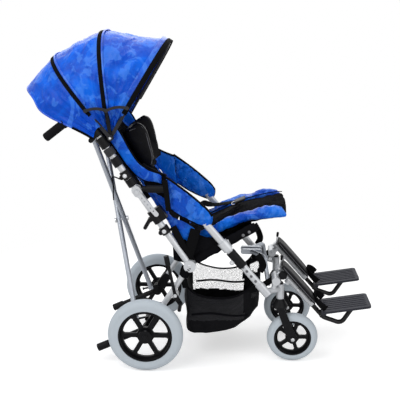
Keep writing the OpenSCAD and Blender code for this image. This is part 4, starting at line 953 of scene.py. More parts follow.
@dataclass(frozen=True)
class Stuffing:
    """How a filling swells a cover: Blender's cloth under pressure, with its seams held.

    Attributes:
        cap: furthest that a point may move, in millimetres.
        pressure: the filling's push.
        slack: share by which the cover is cut larger than its shape.
        voxel: size of the cover's faces, in millimetres.
        frames: how long it swells.
    """

    cap: float
    pressure: float
    slack: float
    voxel: float
    frames: int = 14

    def fill(self, made: Thing, held: Held | None, shift: float) -> None:
        """Swells a closed cover.

        Args:
            made: the cover, whose mesh is replaced.
            held: tells whether a point, in millimetres, is sewn fast.
            shift: the frame's shift along X, in millimetres.
        """
        remesh = made.modifiers.new("cover", "REMESH")
        remesh.mode = "VOXEL"
        remesh.voxel_size = self.voxel * 0.001
        apply_modifiers(made)
        start = np.array([v.co for v in made.data.vertices], float)
        group = made.vertex_groups.new(name="sewn")
        if held is not None:
            sewn = [i for i, p in enumerate(start) if held(Vector(p * 1000.0) + Vector((shift, 0.0, 0.0)))]
            group.add(sewn, 1.0, "REPLACE")
        cloth = made.modifiers.new("filling", "CLOTH")
        settings = cloth.settings
        settings.quality = 4
        settings.use_pressure = True
        settings.uniform_pressure_force = self.pressure
        settings.effector_weights.gravity = 0.0
        settings.shrink_min = -self.slack
        settings.vertex_group_mass = "sewn"
        settings.bending_stiffness = 0.2
        cloth.point_cache.frame_start = 1
        cloth.point_cache.frame_end = self.frames
        for frame in range(1, self.frames + 1):
            bpy.context.scene.frame_set(frame)
        apply_modifiers(made)
        made.vertex_groups.clear()
        moved = np.array([v.co for v in made.data.vertices], float) - start
        length = np.linalg.norm(moved, axis=1)
        limit = self.cap * 0.001
        scale = np.where(length > 1e-9, limit * np.tanh(length / limit) / np.maximum(length, 1e-9), 1.0)
        made.data.vertices.foreach_set("co", (start + moved * scale[:, None]).ravel())
        bpy.context.scene.frame_set(1)
        subdivide(made)


def area_of(made: Thing) -> float:
    """Area of a piece's faces, in square metres."""
    return sum(p.area for p in made.data.polygons)


def width_of(made: Thing, count: int) -> float:
    """Length of the middle one of a sheet's rows of points, in metres."""
    v = made.data.vertices
    base = len(v) // count // 2 * count
    return run_of([p.co for p in v[base : base + count]])[-1]


@dataclass
class Assembly(Piece):
    """A part of the stroller, which makes and dresses its own pieces."""

    def build(self) -> None:
        """Makes the part's pieces."""
        raise NotImplementedError

    def displace(self, made: Thing, height: Height) -> None:
        """Moves each point along its normal.

        Args:
            made: the piece.
            height: gives the move in millimetres from the point, in millimetres, and its normal.
        """
        base = Vector((self.at.shift, 0.0, 0.0))
        normals = [v.normal.copy() for v in made.data.vertices]
        for v, n in zip(made.data.vertices, normals):
            v.co += n * (height(v.co * 1000.0 + base, n) * 0.001)
        made.data.update()

    def dress(self, made: Thing, finishes: Sequence[Finish], which: Choice | None = None) -> None:
        """Gives each face a finish by its place and normal.

        Args:
            made: the piece.
            finishes: the finishes.
            which: gives the finish's number from the face's middle, in millimetres, and its normal.
        """
        made.data.materials.clear()
        for finish in finishes:
            made.data.materials.append(finish.material())
        base = Vector((self.at.shift, 0.0, 0.0))
        for poly in made.data.polygons:
            poly.material_index = which(poly.center * 1000.0 + base, poly.normal) if which else 0
            poly.use_smooth = True

    def stuff(
        self, made: Thing, stuffing: Stuffing, share: float, node: str, held: Held | None = None,
        height: Height | None = None, finishes: Sequence[Finish] = (), which: Choice | None = None,
    ) -> None:
        """Args:
            made: the cover.
            stuffing: how it swells.
            share: not used.
            node: the node that it stands for.
            held: tells whether a point is sewn fast.
            height: its wrinkles, as displace takes them.
            finishes: its finishes, as dress takes them.
            which: gives a face's finish, as dress takes it.
        """
        stuffing.fill(made, held, self.at.shift)
        if height:
            self.displace(made, height)
        if finishes:
            self.dress(made, finishes, which)
        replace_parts(made, node)

    def sheet(self, made: Thing, side: float, cut: float, held: str, on: str, last: bool = False) -> None:
        """Works out a sheet's area; nothing more is done with it.

        Args:
            made: the sheet.
            side: not used.
            cut: not used.
            held: not used.
            on: not used.
            last: not used.
        """
        area = area_of(made)

    def narrow(self, made: Thing) -> None:
        """Gives a piece its own copy of its mesh."""
        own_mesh(made)


@dataclass
class Rigid(Assembly):
    """Finishes of the frame's own nodes."""

    nodes: dict[str, Thing] = field(default_factory=dict)
    finishes: tuple[tuple[Finish, str], ...] = (
        (Palette.silver, "push_tube latch_bar front_leg frame_brackets rear_leg"),
        (Palette.plastic, "fittings latch_lever axle_bracket brake_lever caster_fork hood_middle_bow"),
        (Palette.charcoal, "hood_front_bow hood_rear_bow hood_link"), (Palette.cast, "caster_head legrest_hanger"),
        (Palette.strut, "rear_strut brace_"), (Palette.zinc, "strut_pin"), (Palette.foam, "push_grip"),
        (Palette.tyre, "tyre"), (Palette.wheel, "_rim"), (Palette.black_coat, "foot_tube"),
        (Palette.plate, "footplate"),
    )

    def build(self) -> None:
        """Gives every node of the frame its finish."""
        for name, node in self.nodes.items():
            fits = (finish for finish, parts in self.finishes if any(part in name for part in parts.split()))
            chosen = next(fits, Palette.fabric)
            for place in node.material_slots:
                place.material = chosen.material()
            if not node.material_slots:
                node.data.materials.append(chosen.material())
            LOG.info("%s takes %s", name, chosen.name)


@dataclass
class Hood(Assembly):
    """Folding hood: a rear drape and two panels over three bows, with tapes, pipings and a rolled hem."""

    bow_height: float = 374.0
    lift: float = 4.5
    half_width: float = 234.0
    power: float = 2.8
    front: float = 59.0
    middle: float = 97.0
    rear: float = 130.0
    shares: Curve = ((59.0, 1.05), (97.0, 1.0), (130.0, 0.972), (156.0, 1.0), (205.0, 1.0))
    hem_angles: Curve = (
        (60.0, 181.0), (80.0, 172.5), (113.0, 166.6), (167.0, 163.0),
        (230.0, 161.5), (279.0, 159.4), (319.0, 154.9), (377.0, 153.4),
    )  # fmt: skip
    inner_half: float = 203.0
    columns: int = 120
    hem_steps: int = 150
    hem_end: int = 9

    def build(self) -> None:
        """Makes the hood's cloth, tapes, hem and rivets."""
        drape = self.panel("hood_drape", lambda k: self.rear, self.hem, 34, 6.0, 3.1)
        rear = self.panel("hood_rear_panel", lambda k: self.middle, lambda k: self.rear, 38, 10.0, 7.7)
        front = self.panel("hood_front_panel", lambda k: self.front, lambda k: self.middle, 44, 27.0, 12.9)
        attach(drape, "right_side")
        for cloth, bow in ((drape, "hood_rear_bow"), (rear, "hood_middle_bow"), (front, "hood_front_bow")):
            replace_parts(cloth, "hood_cover")
            self.sheet(cloth, width_of(cloth, self.columns + 1), 1.7, "stretched", bow, last=True)
        top = {a: self.at.row(self.skin(a, 0.5)) for a in (self.front, self.middle, self.rear)}
        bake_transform(rear)
        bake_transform(front)
        web, edge = Palette.webbing, Palette.edge_nylon
        for name, angle, start, width, out, along, finish, body, thick in (
            ("rear_tape", self.rear, 108.0, 15.0, 1.6, 0.0, web, "right_side", 1.8),
            ("rear_piping", self.rear, 150.0, 8.0, 2.0, -13.0, edge, "right_side", 3.2),
            ("middle_tape", self.middle, 50.0, 15.0, 1.8, 2.0, web, "hood_middle", 1.8),
            ("middle_piping", self.middle, 60.0, 7.0, 2.2, -9.5, edge, "hood_middle", 3.6),
            ("front_tape", self.front, 104.0, 19.0, 1.8, 0.0, web, "hood_front", 2.6),
            ("front_facing", self.front, 170.0, 19.0, 1.4, 20.0, edge, "hood_front", 1.6),
        ):
            points, normals = self.line(angle, start, out, along)
            self.strap(f"hood_{name}", points, width, finish, body, normals, thick)
        self.hem_roll()
        centre = self.at.pivot
        head = ((0.0, 5.0), (1.6, 5.0), (1.8, 4.2), (3.4, 3.6), (4.4, 2.2), (4.8, 0.4))
        for side in Side:
            s, name = side.value, f"{side.label}_hood_pivot_bolt"
            place = (centre.x, s * 226.0, centre.z)
            self.turned(name, place, (0, s, 0), head, Palette.zinc, "right_side", slot=None)

    def radius(self, angle: float) -> float:
        """Radius of the hood's top at an angle from forward, in degrees."""
        return self.bow_height * track(self.shares, angle) + self.lift

    def arch(self, k: float) -> tuple[float, float]:
        """Share of the radius and of the half width at a place k across the hood."""
        s, c = math.sin(math.pi * k), math.cos(math.pi * k)
        return max(s, 0.0) ** (2.0 / self.power), math.copysign(abs(c) ** (2.0 / self.power), c)

    def place_of(self, angle: float, height: float) -> float:
        """Place across the hood at which its side is at a height over the pivot."""
        return math.asin((height / self.radius(angle)) ** (self.power / 2.0)) / math.pi

    @staticmethod
    def draped(angle: float) -> float:
        """1 on the drape and 0 forward of it."""
        return smooth((angle - 122.0) / 12.0)

    def foot(self, angle: float) -> float:
        """Place across the hood at which the cloth starts."""
        return self.place_of(angle, mix(44.0, 58.0, self.draped(angle)))

    def skin(self, angle: float, k: float, dip: float = 0.0) -> Vector:
        """Point of the hood's cloth.

        Args:
            angle: from forward, in degrees.
            k: across the hood, 0 on its right side and 1 on its left.
            dip: how far the top sinks below the arc between two bows.

        Returns:
            The point.
        """
        up, across = self.arch(k)
        r = self.radius(angle) * up
        near = self.inner_half + (self.half_width - self.inner_half) * smooth((r - 70.0) / 45.0)
        half = mix(self.half_width, near, 1.0 - self.draped(angle))
        r -= dip * up**3
        a, p = math.radians(angle), self.at.pivot
        return Vector((p.x + math.cos(a) * r, -half * across, p.z + math.sin(a) * r))

    def normal(self, angle: float, k: float) -> Vector:
        """Outward direction of the hood's cloth.

        Args:
            angle: from forward, in degrees.
            k: across the hood.

        Returns:
            The direction.
        """
        up, across = self.arch(k)
        a, w = math.radians(angle), self.power - 1.0
        side = -math.copysign(abs(across) ** w / self.half_width, across)
        out = up**w / self.radius(angle)
        return Vector((math.cos(a) * out, side, math.sin(a) * out)).normalized()

    def hem(self, k: float) -> float:
        """Angle of the drape's lower edge, in degrees."""
        return track(self.hem_angles, self.radius(156.0) * self.arch(k)[0])

    def fold(self, p: Vector, f: float, k: float, seed: float) -> float:
        """Height of the cloth's folds.

        Args:
            p: the point.
            f: share of the way from one bow to the next.
            k: place across the hood.
            seed: sets one panel apart from another.

        Returns:
            The height, in millimetres.
        """
        centre = self.at.pivot
        dx, dz = p.x - centre.x, p.z - centre.z
        held = math.sin(math.pi * max(0.0, min(1.0, f))) ** 0.75
        phase = seed * 1.7 + (0.0 if k < 0.5 else 2.1)
        fan = math.sin(math.tau * 2.6 * f + phase) + 0.6 * math.sin(math.tau * 5.3 * f + 2.0 * phase)
        low = fan * 4.2 * math.exp(-((math.hypot(dx, dz) / 210.0) ** 2))
        cloud = fbm((p.x / 88.0 + seed, p.y / 110.0, p.z / 88.0), 3) * 7.5
        drawn = fbm((dx / 66.0 - dz / 170.0 + seed, p.y / 160.0, dz / 130.0), 2)
        return held * (low + cloud + max(0.0, 1.0 - abs(drawn) * 5.0) ** 2 * 4.2)

    def panel(self, name: str, first: Angle, last: Angle, rows: int, dip: float, seed: float) -> Thing:
        """One piece of the hood's cloth.

        Args:
            name: its name.
            first: angle of its first edge at a place across the hood.
            last: angle of its last edge.
            rows: faces from one edge to the other.
            dip: how far its top sinks.
            seed: sets its folds.

        Returns:
            The object.
        """

        def point(f: float, s: float) -> Cell:
            """The cloth at a share from its first edge and across."""
            low = self.foot(mix(first(0.5), last(0.5), f))
            k = mix(low, 1.0 - low, s)
            angle = mix(first(k), last(k), f)
            p = self.skin(angle, k, dip * math.sin(math.pi * f))
            return (p + self.normal(angle, k) * self.fold(p, f, k, seed),)

        return self.form(name, (rows, self.columns), point, Palette.hood_nylon, None)

    def line(self, angle: float, start: float, out: float, along: float) -> tuple[list[Vector], list[Vector]]:
        """A line over the hood along a bow.

        Args:
            angle: the bow's angle.
            start: radius at which it starts on both sides.
            out: height over the cloth.
            along: distance from the bow, towards the rear.

        Returns:
            Its points and their outward directions.
        """
        points, normals = [], []
        low = self.place_of(angle, start)
        for i in range(91):
            k = mix(low, 1.0 - low, i / 90)
            a = angle + math.degrees(along / max(self.radius(angle) * self.arch(k)[0], 40.0))
            normals.append(self.normal(a, k))
            points.append(self.skin(a, k) + normals[-1] * out)
        return points, normals

    def hem_roll(self) -> None:
        """Rolls the drape's lower edge, black where it nears the pivots."""
        points, normals = [], []
        last, end, low = self.hem_steps, self.hem_end, self.foot(150.0)
        for i in range(last + 1):
            k = mix(low, 1.0 - low, i / last)
            normals.append(self.normal(self.hem(k), k))
            points.append(self.skin(self.hem(k), k) + normals[-1] * 0.5)
        for name, a, b, finish, size in (
            ("right_hem_end", 0, end + 1, Palette.binding, 9.0),
            ("hood_hem", end, last - end + 1, Palette.edge_nylon, 7.5),
            ("left_hem_end", last - end, last + 1, Palette.binding, 9.0),
        ):
            self.strap(name, points[a:b], size, finish, "right_side", normals[a:b], size * 0.8)


@dataclass
class ArmPads(Assembly):
    """Side guards: blue pads on the legs' upper ends, bound in black, with tails that run up beside the back."""

    corners: Curve = ((76.0, 754.0), (250.0, 614.0), (236.0, 560.0), (90.0, 634.0))
    thickness: float = 34.0
    y: float = 209.0
    round_share: float = 0.13
    tail_y: tuple[float, float] = (187.0, 179.0)
    stuffing: Stuffing = Stuffing(cap=7.0, pressure=3.5, slack=0.07, voxel=5.0)

    def build(self) -> None:
        """Makes both guards."""
        for side in Side:
            self.pad(side)
            self.bindings(side)
            self.tail(side)

    def outline(self, u: float, v: float) -> tuple[float, float]:
        """Point of the pad in the side view.

        Args:
            u: share of the way along it.
            v: share of the way across it.

        Returns:
            The point's x and z.
        """
        (ax, az), (bx, bz), (cx, cz), (dx, dz) = self.corners
        bow = math.sin(math.pi * u)
        end = 9.0 * math.sin(math.pi * v) * smooth((u - 0.7) / 0.3)
        x = mix(mix(ax, bx, u) + bow * 3.0, mix(dx, cx, u) - bow * 3.5, v)
        z = mix(mix(az, bz, u) + bow * 4.0, mix(dz, cz, u) - bow * 6.3, v)
        return x + end * 0.8, z - end * 0.5

    def rim(self) -> list[tuple[float, float]]:
        """The pad's edge in the side view, from its top rear corner round its front."""
        n, h, r = 26, 13, self.round_share
        ways = [(i / n, 0.0) for i in range(n + 1)] + [(1.0, i / h) for i in range(1, h + 1)]
        ways += [(1.0 - i / n, 1.0) for i in range(1, n + 1)] + [(0.0, 1.0 - i / h) for i in range(1, h)]
        soft = []
        for u, v in ways:
            w = max(0.0, (u - 1.0 + r) / r)
            soft.append(self.outline(u, mix(v, 0.5, 0.3 * w * w * abs(2 * v - 1))))
        return soft

    def pad(self, side: Side) -> None:
        """The padded panel of one side."""
        s, rim = side.value, self.rim()

        def point(u: float, v: float) -> Cell:
            """Outer and inner point of the cover."""
            x, z = self.outline(u, mix(v, 0.5, 0.28 * max(0.0, (u - 0.85) / 0.15) ** 2 * abs(2 * v - 1)))
            half = 3.0 + (self.thickness / 2 - 6.0) * crown(u, 0.3) ** 0.6 * crown(v, 0.34) ** 0.7
            return (x, s * self.y + s * half, z), (x, s * self.y - s * half, z)

        def sewn(p: Vector) -> bool:
            """Whether a point is on the seam."""
            return abs(abs(p.y) - self.y) < 4.0 and min(math.hypot(p.x - x, p.z - z) for x, z in rim) < 5.0

        def puckers(p: Vector, n: Vector) -> float:
            """Gathers along the seam and soft dents."""
            edge = min(math.hypot(p.x - x, p.z - z) for x, z in rim[::2])
            wave = math.sin((p.x - p.z) / 6.2 + 2.0 * noise.noise(Vector((p.x, p.y, p.z)) / 40.0))
            broad = fbm((p.x / 38.0, p.y / 30.0 + s, p.z / 60.0), 2) * 2.6
            return (math.exp(-((edge / 20.0) ** 2)) * wave * 0.9 + broad) * (abs(n.y) ** 0.5)

        made = self.form(f"{side.label}_guard_pad", (18, 12), point, Palette.nylon, side.body)
        self.stuff(made, self.stuffing, 0.7, f"{side.label}_armrest_pad", sewn, puckers)

    def bindings(self, side: Side) -> None:
        """Black edges of the guard and the strap behind it."""
        s, body, rim = side.value, side.body, self.rim()
        for name, run in (("top", rim[:27]), ("low", rim[39:66])):
            line = [(x, s * self.y, z) for x, z in run]
            out = [Vector((x - 165.0, 0, z - 655.0)).normalized() for x, z in run]
            self.strap(f"{side.label}_guard_{name}_binding", line, 15.0, Palette.binding, body, out, 7.0)
        line = [(x, s * (self.y + 1.0), z) for x, z in rim[26:40]]
        finish = Palette.nylon if side is Side.RIGHT else Palette.binding
        self.tube(f"{side.label}_guard_front_binding", line, 5.6, finish, body, slot="black_fabric")
        line = spline([(78, s * 229, 746), (79, s * 231, 730), (84, s * 232, 690), (90, s * 230, 628)], 8)
        self.strap(f"{side.label}_guard_strap", line, 20.0, Palette.webbing, body, (0, s, 0))

    def tail(self, side: Side) -> None:
        """The guard's inner tail, blue inside and black outside, that reaches up beside the back."""
        s, body = side.value, side.body
        top = spline([(80, 752), (40, 768), (4, 786), (-8, 794)], 6)
        low = spline([(88, 640), (50, 668), (10, 704), (-6, 716)], 6)
        last = len(top) - 1

        def point(f: float, v: float) -> Cell:
            """Outer and inner point of the tail."""
            x, z = between(top, low, f, v)
            half = 2.0 + 6.0 * crown(v, 0.3) * crown(mix(0.08, 0.92, f), 0.3)
            half += fbm((x / 30.0, 4.0 + s, z / 30.0), 2) * 1.6
            y = mix(*self.tail_y, f)
            return (x, s * (y + half), z), (x, s * (y - half), z)

        made = self.form(f"{side.label}_guard_tail", (last, 10), point, Palette.nylon, body)
        subdivide(made)
        self.dress(made, (Palette.nylon, Palette.fabric), lambda p, n: int(n.y * s > 0.3))
        line = [(p.x, s * mix(*self.tail_y, i / last), p.y + 1.0) for i, p in enumerate(top)]
        self.strap(f"{side.label}_tail_binding", line, 15.0, Palette.binding, body, (0, 0, 1), 6.0)


@dataclass
class Seat(Assembly):
    """Seat cushion: a black puffed centre between two blue side bolsters, on a black sling over the rails."""

    curve: Curve = ((151, 478), (226, 503), (302, 541), (378, 571), (454, 591), (506, 598), (532, 598))
    half_width: float = 166.0
    bolster: float = 62.0
    stuffing: Stuffing = Stuffing(cap=9.0, pressure=4.0, slack=0.06, voxel=6.0)
    thickness: Curve = ((0.0, 15.0), (0.25, 19.0), (0.6, 21.0), (0.85, 26.0), (1.0, 27.0))
    bolster_height: Curve = ((0.0, 15.0), (0.25, 19.0), (0.6, 22.0), (0.82, 19.0), (1.0, 10.0))
    bolster_lift: Curve = ((0.0, 4.0), (0.5, 9.0), (0.75, 8.0), (1.0, -9.0))

    def build(self) -> None:
        """Makes the cushion, its sling, belt and buckle."""
        self.centre()
        for side in Side:
            self.side_bolster(side)
        self.sling()
        self.belt()

    @cached_property
    def line(self) -> list[Vector]:
        """The cushion's middle line in the side view."""
        return spline(self.curve, 6)

    def spine(self, u: float, y: float, off: float) -> Vector:
        """Point of the cushion.

        Args:
            u: share of its length.
            y: place across it.
            off: height over its middle line.

        Returns:
            The point.
        """
        last = len(self.line) - 1
        j = min(last - 1, int(u * last))
        a, b = self.line[j : j + 2]
        run = (b - a).normalized()
        p = a.lerp(b, u * last - j)
        return Vector((p.x - run.y * off, y, p.y + run.x * off))

    def centre(self) -> None:
        """The black middle, quilted across and rounded over at the front."""
        w = self.half_width - self.bolster + 16.0
        marks = [self.spine(k / 6.0, 0.0, 20.0) for k in range(1, 6)]

        def point(u: float, v: float) -> Cell:
            """Upper and lower point of the cover."""
            full = crown(mix(0.03, 0.97, v), 0.2)
            h = track(self.thickness, u) * crown(mix(0.02, 0.98, u), 0.2) ** 0.5
            channel = 2.2 * abs(math.sin(u * math.pi * 6.0)) ** 0.5
            y = mix(-w, w, v)
            over = h * full * mix(0.6, 1.0, smooth((u - 0.7) / 0.25)) - 4.0 + channel * full
            return self.spine(u, y, over), self.spine(u, y, -h * (0.4 + 0.6 * full))

        def sewn(p: Vector) -> bool:
            """Whether a point is in a sewn channel of the upper side."""
            near = min(abs(p.x - m.x) + 0.3 * abs(p.z - m.z) for m in marks)
            return near < 4.0 and p.z > min(self.line, key=lambda q: abs(q.x - p.x)).y + 4.0

        made = self.form("seat_centre", (30, 16), point, Palette.spacer, "right_side")
        self.stuff(made, self.stuffing, 0.6, "seat_cushion", sewn, dents((34, 60, 34), 3, 2.4), (Palette.spacer,))
        self.narrow(made)

    def side_bolster(self, side: Side) -> None:
        """One blue bolster, gathered along its seams."""
        s = side.value
        mid = self.half_width - self.bolster / 2
        inner = mid - self.bolster / 2
        around, steps = 20, 44
        points = []
        for u in (i / steps for i in range(steps + 1)):
            end = max(0.25, crown(mix(0.01, 0.99, u), 0.16) ** 0.6)
            rx = (self.bolster / 2 - 3.0) * mix(0.8, 1.0, end)
            rz = track(self.bolster_height, u) * end
            lift = track(self.bolster_lift, u)
            for c, q in round_section(1.0, around):
                gather = 1.0 + 0.05 * math.sin(u * 58.0 + 3.0 * math.sin(u * 9.0)) * (0.3 + abs(q))
                y = s * (mid + rx * math.copysign(abs(c) ** 0.8, c))
                points.append(self.spine(u, y, lift + rz * math.copysign(abs(q) ** 0.85, q) * gather))

        def sewn(p: Vector) -> bool:
            """Whether a point is on the inner seam."""
            return abs(abs(p.y) - (inner + 4.0)) < 3.5

        def wrinkle(p: Vector, n: Vector) -> float:
            """Gathers along both seams and soft dents."""
            seam = math.exp(-(((abs(p.y) - inner) / 16.0) ** 2))
            low = math.exp(-(((abs(p.y) - self.half_width) / 12.0) ** 2))
            wave = math.sin(p.x / 5.4 + 2.5 * noise.noise(Vector((p.x / 30.0, s, 0.0))))
            return wave * (seam * 1.3 + low * 0.8) + fbm((p.x / 46.0 + s, p.y / 30.0, p.z / 30.0), 2) * 3.4

        faces = quads(steps + 1, around, wrap=True) + lids(steps + 1, around)
        made = self.mesh(f"{side.label}_seat_bolster", points, faces, Palette.nylon, "right_side")
        turn_out(made)
        self.stuff(made, self.stuffing, 0.75, "seat_cushion", sewn, wrinkle, (Palette.nylon,))
        self.narrow(made)
        places = [mix(0.03, 0.99, i / 60) for i in range(61)]
        line = [self.spine(u, s * (inner + 3.0), track(self.thickness, u) * 0.9 + 1.0) for u in places]
        self.narrow(self.tube(f"{side.label}_seat_inner_seam", line, 3.6, Palette.binding, "right_side"))

    def sling(self) -> None:
        """The black sling under the cushion, its skirts over the rails and the rails' sleeves."""
        rail_y = self.at.rail_y

        def point(u: float, v: float) -> Cell:
            """The sling, which sags between the rails."""
            y = mix(-rail_y + 8, rail_y - 8, v)
            p = self.at.rail(mix(18.0, 272.0, u), 12.0 - 16.8 * (1.0 - (y / rail_y) ** 2), y)
            p.z += fbm((p.x / 50.0, y / 60.0, 1.0), 2) * 3.0
            return (p,)

        made = self.form("seat_sling_cloth", (24, 24), point, Palette.fabric, "right_side")
        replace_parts(made, "seat_sling")
        self.sheet(made, width_of(made, 25), 1.02, "stretched", "right_seat_rail")
        self.narrow(made)
        section = [
            (15.2 * c + 1.2 * math.cos(3 * math.tau * j / 18), 16.0 * q + (5.0 if q > 0.5 else 0.0))
            for j, (c, q) in enumerate(round_section(1.0, 18))
        ]
        for side in Side:
            line = [self.at.rail(mix(26.0, 290.0, i / 40), 0.0, side.value * rail_y) for i in range(41)]
            made = self.sweep(
                f"{side.label}_rail_sleeve", line, section, Palette.fabric, side.body, (0, 0, 1),
                lambda f: 1.0 + 0.035 * math.sin(f * 23.0) + 0.03 * math.sin(f * 61.0),
            )  # fmt: skip
            self.displace(made, dents((20, 20, 16), 2, 1.5))
            self.skirt(side)

    def skirt(self, side: Side) -> None:
        """Black cloth at the seat's rear corner that hangs from the cushion to the rail's sleeve."""
        s = side.value
        top = spline([(96, 566), (140, 556), (180, 534), (236, 512), (300, 520)], 5)
        low = spline([(104, 420), (128, 412), (172, 408), (232, 444), (300, 486)], 5)

        def point(u: float, v: float) -> Cell:
            """The skirt with its folds."""
            x, z = between(top, low, u, v)
            bow = math.sin(math.pi * v)
            y = 182.0 + 9.0 * bow + fbm((x / 26.0, 2.0 + s, z / 40.0), 2) * 5.0
            return ((x, s * (y + 3.0 * math.sin((x - z * 0.6) / 9.0) * bow), z),)

        made = self.form(f"{side.label}_seat_skirt", (20, 14), point, Palette.fabric, side.body)
        subdivide(made)
        self.sheet(made, 0.26, 1.6, "hung", f"{side.label}_seat_rail")

    def belt(self) -> None:
        """Lap belt that lies on the cushion, with its buckle and adjuster."""
        for side in Side:
            s = side.value
            spots = ((176, 186, 540), (196, 160, 560), (240, 112, 562), (300, 62, 582), (350, 24, 603))
            line, name = spline([(x, s * y, z) for x, y, z in spots], 8), f"{side.label}_lap_belt"
            self.narrow(self.strap(name, line, 38.0, Palette.webbing, "right_side", (-0.35, 0, 1), 2.2))

        def point(u: float, v: float) -> Cell:
            """Upper and lower point of the buckle."""
            full = crown(mix(0.04, 0.96, u), 0.2) * crown(mix(0.04, 0.96, v), 0.2)
            x, y = mix(336.0, 378.0, u), mix(-26.0, 26.0, v)
            z = 600.0 + (x - 336.0) * 0.42
            return (x, y, z + 6.0 + 4.0 * full), (x, y, z + 2.0 - 2.0 * full)

        self.narrow(self.form("lap_buckle", (8, 12), point, Palette.plastic, "right_side"))
        ring = spline([(326, -18, 597), (326, 18, 597), (340, 20, 603), (340, -20, 603), (326, -18, 597)], 4)
        self.narrow(self.tube("belt_slider", ring, 3.2, Palette.zinc, "right_side"))


@dataclass
class Back(Assembly):
    """Padded back: a black quilted middle with blue wings that turn forward above the arm links."""

    low: float = 132.0
    high: float = 646.0
    half_width: float = 172.0
    off: float = 15.0
    thickness: float = 22.0
    wing_y: float = 192.0
    stuffing: Stuffing = Stuffing(cap=8.0, pressure=3.5, slack=0.05, voxel=6.5)
    rear_edge: Curve = ((300, 86), (330, 84), (372, 42), (452, 22), (497, 22), (552, 22), (640, 24))
    front_edge: Curve = ((300, 104), (348, 104), (381, 80), (428, 62), (492, 62), (569, 70), (640, 64))

    def build(self) -> None:
        """Makes the middle, the wings and the blue sides below them."""
        self.middle()
        for side in Side:
            s, body = side.value, side.body
            self.wing(side)
            line = [self.at.back(mix(300.0, 640.0, i / 40), 15.0, s * 189.0) for i in range(41)]
            self.strap(f"{side.label}_wing_strip", line, 19.0, Palette.fabric, body, (0, s, 0), 3.0)
            self.lower_side(side)

    def middle(self) -> None:
        """The black middle of the back, with sewn channels across it."""
        channels = [mix(self.low, self.high, k / 7.0) for k in range(1, 7)]
        foot = self.at.back(0.0)
        up = self.at.back(1.0) - foot

        def point(u: float, v: float) -> Cell:
            """Front and rear point of the cover."""
            t, y = mix(self.low, self.high, u), mix(-self.half_width, self.half_width, v)
            end = crown(mix(0.015, 0.985, u), 0.2) ** 0.6
            full = crown(mix(0.02, 0.98, v), 0.16)
            groove = 3.4 * abs(math.sin(u * math.pi * 7.0)) ** 0.4
            h = self.thickness * end * full + 16.0 * smooth((abs(y) - 120.0) / 46.0) * end
            front = self.at.back(t, self.off + 2.0 + h * 0.86 + groove * full - 4.0, y)
            return front, self.at.back(t, self.off + 5.0 - 4.0 * full * end, y)

        def sewn(p: Vector) -> bool:
            """Whether a point is in a sewn channel."""
            place = Vector((p.x - foot.x, 0.0, p.z - foot.z)).dot(up)
            return min(abs(place - c) for c in channels) < 4.0

        def which(p: Vector, n: Vector) -> int:
            """Blue at the sides and plain cloth behind."""
            return 1 if abs(p.y) > 140.0 else 2 if n.x * 0.83 + n.z * 0.56 < -0.3 else 0

        made = self.form("back_pad", (36, 20), point, Palette.spacer, "right_side")
        finishes = (Palette.spacer, Palette.nylon, Palette.fabric)
        self.stuff(made, self.stuffing, 0.55, "back_cushion", sewn, dents((40, 70, 40), 3, 2.2), finishes, which)
        self.narrow(made)

    def wing(self, side: Side) -> None:
        """One blue wing, bound in black along both edges."""
        s, body, steps = side.value, side.body, 44

        def edge(f: float, v: float, out: float = 0.0) -> Vector:
            """Point of the wing in the side view, at shares up it and across it."""
            low, top = track(self.rear_edge, mix(322.0, 648.0, f)), track(self.front_edge, mix(340.0, 648.0, f))
            return self.at.back(mix(mix(318.0, 640.0, f), mix(345.0, 648.0, f), v), mix(low, top, v) + out)

        def point(f: float, v: float) -> Cell:
            """Outer and inner point of the wing."""
            q = edge(f, v)
            full = crown(mix(0.06, 0.94, v), 0.3) * crown(mix(0.05, 0.95, f), 0.12)
            wave = 1.2 * math.sin(f * 60.0 + 2.0 * math.sin(f * 11.0)) * (1.0 - full)
            half = 1.0 + 9.0 * full + fbm((q.x / 34.0 + s, 3.0, q.z / 34.0), 2) * 2.6 * full
            return (q.x, s * (self.wing_y + half + wave), q.z), (q.x, s * (self.wing_y - half), q.z)

        made = self.form(f"{side.label}_back_wing", (steps, 12), point, Palette.nylon, body)
        subdivide(made)
        out = self.at.back(1.0, 1.0) - self.at.back(1.0, 0.0)
        for name, v, over, size in (("binding", 1.0, 1.0, 11.0), ("seam", 0.0, -0.5, 7.0)):
            places = [edge(i / steps, v, over) for i in range(steps + 1)]
            line = [(q.x, s * self.wing_y, q.z) for q in places]
            self.strap(f"{side.label}_wing_{name}", line, size, Palette.binding, body, out, 6.0)

    def lower_side(self, side: Side) -> None:
        """Blue cloth at the side of the back, below the arm link and over the hip."""
        s, body = side.value, side.body
        for name, first, last, y0 in (
            ("upper", [(14, 708), (50, 690), (86, 684)], [(78, 600), (86, 610), (94, 640)], 186.0),
            (
                "hip", [(84, 600), (116, 586), (150, 572), (186, 548)],
                [(104, 508), (126, 494), (156, 496), (190, 500)], 190.0,
            ),
        ):
            top, low = spline(first, 7), spline(last, 7)

            def point(u: float, v: float) -> Cell:
                """The cloth, slightly bowed."""
                x, z = between(top, low, u, v)
                y = y0 + 8.0 * math.sin(math.pi * v) * math.sin(math.pi * u)
                return ((x, s * (y + fbm((x / 24.0, s, z / 24.0), 2) * 3.5), z),)

            size = (len(top) - 1, 12)
            made = self.form(f"{side.label}_{name}_gusset", size, point, Palette.nylon, body)
            subdivide(made)
            self.sheet(made, 0.12, 1.6, "stretched", f"{side.label}_push_tube")


